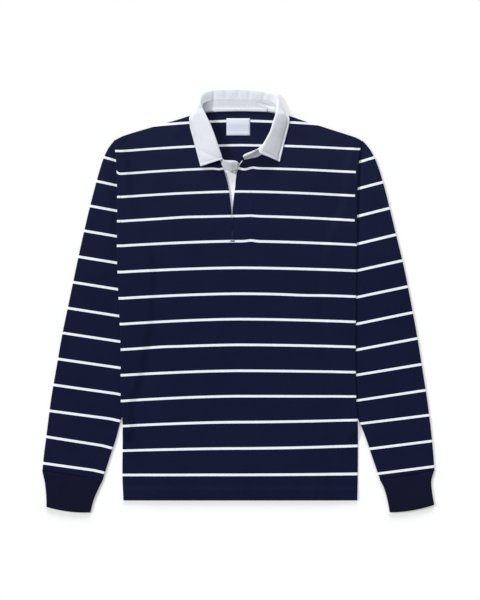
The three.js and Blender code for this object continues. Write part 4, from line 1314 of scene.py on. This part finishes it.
# %% Smooth lines through a section
def chord_line(points, places):
    """Points of a smooth line through the given ones, at shares of its length."""
    knots = [0]
    for a, b in zip(points, points[1:]):
        knots.append(knots[-1] + max((b - a).length, 0.01) ** 0.75)
    last = len(points) - 1
    slopes = []
    for k in range(last + 1):
        before, after = max(k - 1, 0), min(k + 1, last)
        slopes.append((points[after] - points[before]) / (knots[after] - knots[before]))
    line = []
    for share in places:
        at = share * knots[-1]
        i = 0
        while i < last - 1 and knots[i + 1] < at:
            i += 1
        span = knots[i + 1] - knots[i]
        t = (at - knots[i]) / span
        line.append(curve(points[i], points[i + 1], slopes[i] * span, slopes[i + 1] * span, t))
    return line


def section_grid(sections, names, steps_along, places_across):
    """Rows of points: one row for each fine section, from its first named point to its last."""
    count = (len(sections) - 1) * steps_along
    spots = [k / steps_along for k in range(count + 1)]
    spots = [0, 0.08] + spots[1:-1] + [len(sections) - 1.08, len(sections) - 1]
    rails = {name: [section[name] for section in sections] for name in names}
    rows = []
    for spot in spots:
        rows.append(chord_line([along(rails[name], spot) for name in names], places_across))
    return rows, spots


def grid_from_rows(name, rows, thickness):
    """Twill from rows of points, with a UV map worked out from the distances between them."""
    middle = len(rows[0]) // 2
    run, runs = 0, [0]
    for a, b in zip(rows, rows[1:]):
        run += (b[middle] - a[middle]).length
        runs.append(run)
    reaches = []
    for row in rows:
        reach, row_reaches = 0, [0]
        for a, b in zip(row, row[1:]):
            reach += (b - a).length
            row_reaches.append(reach)
        reaches.append(row_reaches)

    def place(column, row):
        point = rows[column][row]
        return point, (runs[column], reaches[column][row])

    piece = cloth_grid(name, len(rows) - 1, len(rows[0]) - 1, place)
    return wall(piece, thickness, offset=0)


# %% Creases and the pressed seam of the collar
collar_creases = table(
    CREASE,
    (-23, 374, -25, 390, 2.6, -1.1),
    (-13, 378, -12, 390, 3, 0.6),
    (-1, 374, -0.5, 390, 2.4, -1.1),
    (21, 374, 20, 389, 2.6, -1),
    (34, 376, 35, 388, 3, 0.5),
    (46, 372, 48, 386, 3, -1),
    (-45, 390, -47, 356, 2.6, -1.1),
    (40, 366, 66, 359, 2.4, -1),
    (48, 360, 64, 354, 2, 0.7),
    (-75, 281, -45, 266, 4, -0.5),
    (-45, 266, -32, 263, 3.6, -0.45),
    (-70, 262, -50, 250, 6, -0.6),
    (-84, 318, -62, 300, 7, 0.4),
    (44, 278, 74, 262, 5, -0.6),
    (58, 316, 72, 286, 7, -0.5),
)
collar_crumple = [dict(span=30, rise=0.35), dict(span=11, rise=0.16)]
COLLAR_STITCH_INSET = 5.5
PRESSED = dict(depth=0.5, width=1.2)
FLAT_BORDER = dict(inset=5.5, until=13, sink=1.3)
FREE_HEIGHT = (3, 6)
COLLAR_LAYER = 40
CLEAR_OF_FLOOR = 0.02
NEAR_EDGE = -4


def relax_collar(rows, edge_seam):
    """Creases, unevenness and, on the fall, the pressed line of its edge stitching."""
    for i, row in enumerate(rows):
        from_end = min((row[NEAR_EDGE] - rows[0][NEAR_EDGE]).length, (row[NEAR_EDGE] - rows[-1][NEAR_EDGE]).length)
        reach = 0
        for j in range(len(row) - 1, -1, -1):
            point = row[j]
            if j < len(row) - 1:
                reach += (row[j + 1] - point).length
            spot = Vector((point.x, point.y, COLLAR_LAYER))
            soft = sum(s["rise"] * noise.noise(spot / s["span"]) for s in collar_crumple)
            soft += crease_rise(collar_creases, point.x, point.y)
            shown = ease(*FREE_HEIGHT, point.z)
            if edge_seam:
                border = ease(0, FLAT_BORDER["inset"], reach)
                border *= 1 - ease(FLAT_BORDER["inset"], FLAT_BORDER["until"], reach)
                soft -= FLAT_BORDER["sink"] * border
                near = min(abs(reach - COLLAR_STITCH_INSET), abs(from_end - COLLAR_STITCH_INSET))
                soft -= PRESSED["depth"] * math.exp(-(near / PRESSED["width"]) ** 2)
            row[j] = Vector((point.x, point.y, max(point.z + soft * shown, TWILL / 2 + CLEAR_OF_FLOOR)))


# %% Stand and fall
FALL_STEPS, FALL_ACROSS = 12, 46
STAND_STEPS, STAND_ACROSS = 6, 18
STAND_SAG = dict(least=0.1, more=0.5, low=8, high=14)

for section in stand_sections:
    sag = STAND_SAG["least"]
    sag += STAND_SAG["more"] * ease(STAND_SAG["low"], STAND_SAG["high"], section["top"].z)
    section["middle"] = section["seam"].lerp(section["top"], 0.5) - Vector((0, 0, sag))

fall_places = spaced(1, FALL_ACROSS, edge_end=0.012)
fall_names = ["start", "crest", "turn", "beyond", "edge"]
fall_rows, fall_spots = section_grid(fall_sections, fall_names, FALL_STEPS, fall_places)
stand_places = spaced(1, STAND_ACROSS, edge_end=0.03)
stand_names = ["seam", "middle", "top", "lip"]
stand_rows, _ = section_grid(stand_sections, stand_names, STAND_STEPS, stand_places)

relax_collar(fall_rows, True)
relax_collar(stand_rows, False)
fall = grid_from_rows("collar_fall_twill", fall_rows, TWILL)
dress(fall, twill, "twill", "collar_fall")
stand = grid_from_rows("collar_stand_twill", stand_rows, STAND_THICKNESS)
dress(stand, twill, "twill", "collar_stand")

# %% [markdown]
# ## Tape, placket, label and button
# The small white pieces lie on the panels, so they are made from the same heights, moved out.

# %% Neck tape
TAPE = dict(share=0.24, thickness=0.9, half_length=52, above_y=345, foot=-0.06, clear=0.25)
tape_sections = [
    section for section in stand_sections
    if abs(section["seam"].x - COLLAR_CENTRE) <= TAPE["half_length"]
    and section["seam"].y > TAPE["above_y"]
]
for section in tape_sections:
    lift = Vector((0, 0, TWILL / 2 + SEAM_GAP + TAPE["thickness"] / 2 + TAPE["clear"]))
    section["tape_foot"] = section["seam"].lerp(section["top"], TAPE["foot"]) + lift
    section["tape_head"] = section["seam"].lerp(section["top"], TAPE["share"]) + lift
tape_rows, _ = section_grid(tape_sections, ["tape_foot", "tape_head"], 8, spaced(1, 4))
tape = grid_from_rows("neck_tape_twill", tape_rows, TAPE["thickness"])
dress(tape, twill, "twill", "neck_tape")

# %% Under placket and facing
PLACKET = dict(bottom=111, top=247, right=22, lap=6, z=1.7, uneven=0.25, lift=0.3)
FACING = dict(bottom=186, top=260, width=12, shows=1.1, z=3.1)
THIN_TWILL = 1.1
SLIT_ROWS = dict(low=100, high=285)
END_CELL = 0.5


def slit_x(side, y):
    """Edge of the front opening at a height."""
    rows = [row for row in body_rows if SLIT_ROWS["low"] <= row[side + "_y"] < SLIT_ROWS["high"]]
    return read(rows, side + "_y", side + "_x", y)


def make_strip(name, heights, edges, z, across):
    """A strip of cloth between two edges that change with height."""
    def place(column, row):
        y = heights[row]
        left, right = edges(y)
        x = mix(left, right, column / across)
        return Vector((x, y, z(x, y))), (x, y)

    return cloth_grid(name, across, len(heights) - 1, place)


def heights_between(low, high, step):
    """Even heights with one more close to each end, for a crisp edge."""
    count = round((high - low) / step)
    inside = [mix(low, high, k / count) for k in range(1, count)]
    return [low, low + END_CELL, *inside, high - END_CELL, high]


under_placket = make_strip(
    "placket_under_twill",
    heights_between(PLACKET["bottom"], PLACKET["top"], 4),
    lambda y: (slit_x("left", y) - PLACKET["lap"], PLACKET["right"]),
    lambda x, y: PLACKET["z"] + THIN_TWILL + PLACKET["uneven"] * (crumple(x, y, 9) + PLACKET["lift"]),
    12,
)
# The under placket takes the twill painted lighter against its shade.
dress(wall(under_placket, THIN_TWILL), twill_painted_lighter, "twill", "placket_under")

facing = make_strip(
    "placket_facing_twill",
    heights_between(FACING["bottom"], FACING["top"], 4),
    lambda y: (slit_x("right", y) - FACING["shows"], slit_x("right", y) + FACING["width"]),
    lambda x, y: FACING["z"] + THIN_TWILL,
    8,
)
dress(wall(facing, THIN_TWILL), twill, "twill", "placket_facing")

# %% Label
LABEL = dict(left=-22.2, right=21.3, bottom=306.5, top=338, thickness=0.9, puff=0.35)
LABEL_STEPS = 12


def label_z(x, y):
    return lift_under_back(x, y) + JERSEY + SEAM_GAP + LABEL["thickness"]


def label_place(column, row):
    x = mix(LABEL["left"], LABEL["right"], column / LABEL_STEPS)
    y = mix(LABEL["bottom"], LABEL["top"], row / LABEL_STEPS)
    puff = LABEL["puff"] * math.sin(math.pi * column / LABEL_STEPS)
    puff *= math.sin(math.pi * row / LABEL_STEPS)
    return Vector((x, y, label_z(x, y) + puff)), (x, y)


label = cloth_grid("label_woven", LABEL_STEPS, LABEL_STEPS, label_place)
dress(wall(label, LABEL["thickness"]), woven_label, "label", "label")

# %% Button
BUTTON = dict(radius=5.088, thickness=2.4, up_stand=0.22, proud=2.1, beside=0.2)
BUTTON_RIM = dict(width=1.5, slope=0.45, depth=0.6, bevel=0.4, sharp=0.7)


def make_button():
    """A rubber button: a disc, inset for its rim and bevelled, turned onto the stand's end."""
    end, beside = stand_sections[2], stand_sections[3]
    seam_point = end["seam"].lerp(beside["seam"], BUTTON["beside"])
    top_point = end["top"].lerp(beside["top"], BUTTON["beside"])
    up = top_point - seam_point
    lean = math.atan2(up.z, up.y)
    bm = bmesh.new()
    bmesh.ops.create_cone(bm, cap_ends=True, segments=48, radius1=BUTTON["radius"],
                          radius2=BUTTON["radius"], depth=BUTTON["thickness"])
    top_face = max(bm.faces, key=lambda face: face.calc_center_median().z)
    bmesh.ops.inset_region(bm, faces=[top_face], thickness=BUTTON_RIM["width"], depth=0)
    bmesh.ops.inset_region(bm, faces=[top_face], thickness=BUTTON_RIM["slope"],
                           depth=-BUTTON_RIM["depth"])
    sharp = [edge for edge in bm.edges
             if len(edge.link_faces) == 2 and edge.calc_face_angle() > BUTTON_RIM["sharp"]]
    bmesh.ops.bevel(bm, geom=sharp, offset=BUTTON_RIM["bevel"], offset_type="OFFSET", segments=3,
                    profile=0.5, affect="EDGES", material=-1)
    turn = Matrix.Rotation(math.pi / 2 + lean, 4, "X") @ Matrix.Rotation(-math.pi / 2, 4, "X")
    centre = seam_point.lerp(top_point, BUTTON["up_stand"])
    outward = turn @ Vector((0, 0, 1))
    centre += outward * (BUTTON["proud"] + BUTTON["thickness"] / 2)
    bmesh.ops.transform(bm, matrix=Matrix.Scale(MM, 4) @ Matrix.Translation(centre) @ turn,
                        verts=bm.verts)
    for face in bm.faces:
        face.smooth = True
    return bm_to_object("button_rubber", bm)


button = make_button()
dress(button, rubber, "button", "button")

# %% [markdown]
# ## Sewing
# Topstitching holds the collar's edge, the placket, the hem and the armholes. Each stitch is a
# short bead of thread, made once in a loop and set along a line. They are joined into one mesh
# for each seam, because thousands of separate objects are slow to work with.

# %% Stitches
STITCH = dict(pitch=3.2, length=2.3, width=0.5)
BEAD = dict(around=6, rings=4)
STITCH_ABOVE = 0.05


def even_path(points, pitch):
    """Places and directions at even distances along a line of points."""
    lengths = [0]
    for a, b in zip(points, points[1:]):
        lengths.append(lengths[-1] + (b - a).length)
    count = int(lengths[-1] / pitch)
    spots, i = [], 0
    for k in range(count):
        at = (k + 0.5) * pitch
        while i < len(points) - 2 and lengths[i + 1] < at:
            i += 1
        share = (at - lengths[i]) / max(lengths[i + 1] - lengths[i], 1e-6)
        spots.append((points[i].lerp(points[i + 1], share), (points[i + 1] - points[i]).normalized()))
    return spots


def sew(name, lines, thread, pitch=STITCH["pitch"], length=STITCH["length"], width=STITCH["width"]):
    """Stitches along each line of points, as one piece."""
    bm = bmesh.new()
    for points in lines:
        for centre, direction in even_path(points, pitch):
            turn = direction.to_track_quat("X", "Z").to_matrix().to_4x4()
            shape = Matrix.Diagonal((length / 2, width / 2, width / 2, 1))
            place = Matrix.Scale(MM, 4) @ Matrix.Translation(centre) @ turn @ shape
            bmesh.ops.create_uvsphere(bm, u_segments=BEAD["around"], v_segments=BEAD["rings"],
                                      radius=1, matrix=place)
    for face in bm.faces:
        face.smooth = True
    piece = bm_to_object(name, bm)
    piece.data.materials.append(thread)
    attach(piece, "root")
    print(name, "has", len(piece.data.polygons) // (BEAD["around"] * BEAD["rings"]), "stitches")
    return piece


def on_front(places, above=STITCH_ABOVE):
    """Places of a seam, set on the front's cloth."""
    return [Vector((x, y, front_top(x, y) + above)) for x, y in places]


ARMHOLE_INSET = 6
SLIT_INSET = 2.2
PLACKET_FOOT_Y = 113
LABEL_INSET = 1.2
STITCHED_SECTIONS = 6.6
BAR_TACK = dict(left=-15, right=-7, low=110.2, step=0.55, rows=4, above=0.2)

hem_line = [(x, HEM_Y + HEM_DEPTH) for x in range(-210, 217, 4)]
armhole_lines = [
    on_front([(read(body_sides, "y", side, y) + inward * ARMHOLE_INSET, y) for y in range(122, 296, 4)])
    for side, inward in (("left", 1), ("right", -1))
]
placket_right = [(PLACKET_KINK_X, y) for y in range(PLACKET_FOOT_Y, 250, 4)]
placket_foot = [(x, PLACKET_FOOT_Y) for x in range(-9, 24, 3)]
slit_edges = [
    on_front([(slit_x(side, y) + inward * SLIT_INSET, y) for y in range(116, 236, 4)])
    for side, inward in (("left", -1), ("right", 1))
]
sew("stitches_body", [on_front(hem_line), on_front(placket_right), on_front(placket_foot),
                      *armhole_lines, *slit_edges], navy_thread)
tack_heights = [BAR_TACK["low"] + k * BAR_TACK["step"] for k in range(BAR_TACK["rows"])]
bar_tack = [
    on_front([(BAR_TACK["left"], y), (BAR_TACK["right"], y)], BAR_TACK["above"])
    for y in tack_heights
]
sew("bar_tack", bar_tack, navy_thread, pitch=1.6, length=2.2, width=0.6)


def normal_offset(rows, i, j, distance):
    """A point of a grid of rows, moved off the cloth towards its upper side."""
    a = rows[min(i + 1, len(rows) - 1)][j] - rows[max(i - 1, 0)][j]
    b = rows[i][min(j + 1, len(rows[i]) - 1)] - rows[i][max(j - 1, 0)]
    normal = a.cross(b).normalized()
    if normal.z < 0:
        normal = -normal
    return rows[i][j] + normal * distance


def inset_along_row(rows, i, inset):
    """Index of the place in a row that lies the inset back from the free edge."""
    reach, j = 0, len(rows[i]) - 1
    while reach < inset and j > 1:
        reach += (rows[i][j] - rows[i][j - 1]).length
        j -= 1
    return j


def leaf_stitch_lines():
    """Lines of stitches along each leaf's edge and across its end."""
    lines = []
    last_spot = len(fall_sections) - 1
    for from_end in (False, True):
        line = []
        away = [last_spot - spot if from_end else spot for spot in fall_spots]
        order = [k for k, spot in enumerate(away) if spot < STITCHED_SECTIONS]
        if from_end:
            order.reverse()
        end_row = None
        for k in order:
            travelled = (fall_rows[k][NEAR_EDGE] - fall_rows[order[0]][NEAR_EDGE]).length
            if travelled < COLLAR_STITCH_INSET:
                end_row = k
                continue
            j = inset_along_row(fall_rows, k, COLLAR_STITCH_INSET)
            line.append(normal_offset(fall_rows, k, j, TWILL / 2 + STITCH_ABOVE))
        foot_j = inset_along_row(fall_rows, end_row, COLLAR_STITCH_INSET)
        foot = [normal_offset(fall_rows, end_row, j, TWILL / 2 + STITCH_ABOVE) for j in range(4, foot_j + 1)]
        lines += [line, foot]
    return lines


sew("stitches_collar", leaf_stitch_lines(), white_thread, width=0.4)
label_line = [
    [Vector((x, y, label_z(x, y) + 0.1)) for y in range(308, 338, 3)]
    for x in (LABEL["left"] + LABEL_INSET, LABEL["right"] - LABEL_INSET)
]
sew("stitches_label", label_line, white_thread, pitch=2.2, length=1.6, width=0.3)

# %% [markdown]

# %% [markdown]
# ## Floor, light and camera
# The shirt was photographed from straight above on white, with a soft light from the upper
# left that leaves a short shadow below the hem and shades the right leaf of the collar.

# %% Floor
FLOOR_HALF = 60
FLOOR_GREY = (0.62, 0.62, 0.62, 1)
FLOOR_GLOW = 0.32
bm = bmesh.new()
bmesh.ops.create_grid(bm, x_segments=1, y_segments=1, size=FLOOR_HALF)
floor = bm_to_object("floor", bm)
floor_material, floor_tree, floor_shader = start_material("Pale floor", 0.9, 0, 0.5)
floor_shader.inputs["Base Color"].default_value = FLOOR_GREY
floor_shader.inputs["Emission Color"].default_value = (1, 1, 1, 1)
floor_shader.inputs["Emission Strength"].default_value = FLOOR_GLOW
floor.data.materials.append(floor_material)

# %% Lights
world = bpy.data.worlds.new("Studio")
world.use_nodes = True
world.node_tree.nodes["Background"].inputs["Color"].default_value = (0.97, 0.98, 1.0, 1)
world.node_tree.nodes["Background"].inputs["Strength"].default_value = 0.38
bpy.context.scene.world = world


def sun(name, towards, strength, softness):
    """A soft sun that shines from the given direction."""
    data = bpy.data.lights.new(name, "SUN")
    data.energy = strength
    data.angle = math.radians(softness)
    lamp = bpy.data.objects.new(name, data)
    lamp.rotation_euler = Vector(towards).to_track_quat("Z", "Y").to_euler()
    bpy.context.scene.collection.objects.link(lamp)


sun("key_from_left", (-0.78, 0.26, 0.66), 2.15, 16)
sun("low_from_collar", (0.02, 0.94, 0.342), 2.75, 20)

# %% Camera
VIEW_HEIGHT = 1110
VIEW_CENTRE = (2.8, 1.9)
LENS = 135
SENSOR = 36
camera_data = bpy.data.cameras.new("camera")
camera_data.lens = LENS
camera_data.sensor_width = SENSOR
camera_data.clip_end = 50
camera = bpy.data.objects.new("camera", camera_data)
camera.location = Vector((*VIEW_CENTRE, VIEW_HEIGHT * LENS / SENSOR + 5)) * MM
bpy.context.scene.collection.objects.link(camera)
bpy.context.scene.camera = camera
bpy.context.scene.view_settings.view_transform = "Standard"
print("Camera height in metres:", round(camera.location.z, 3))
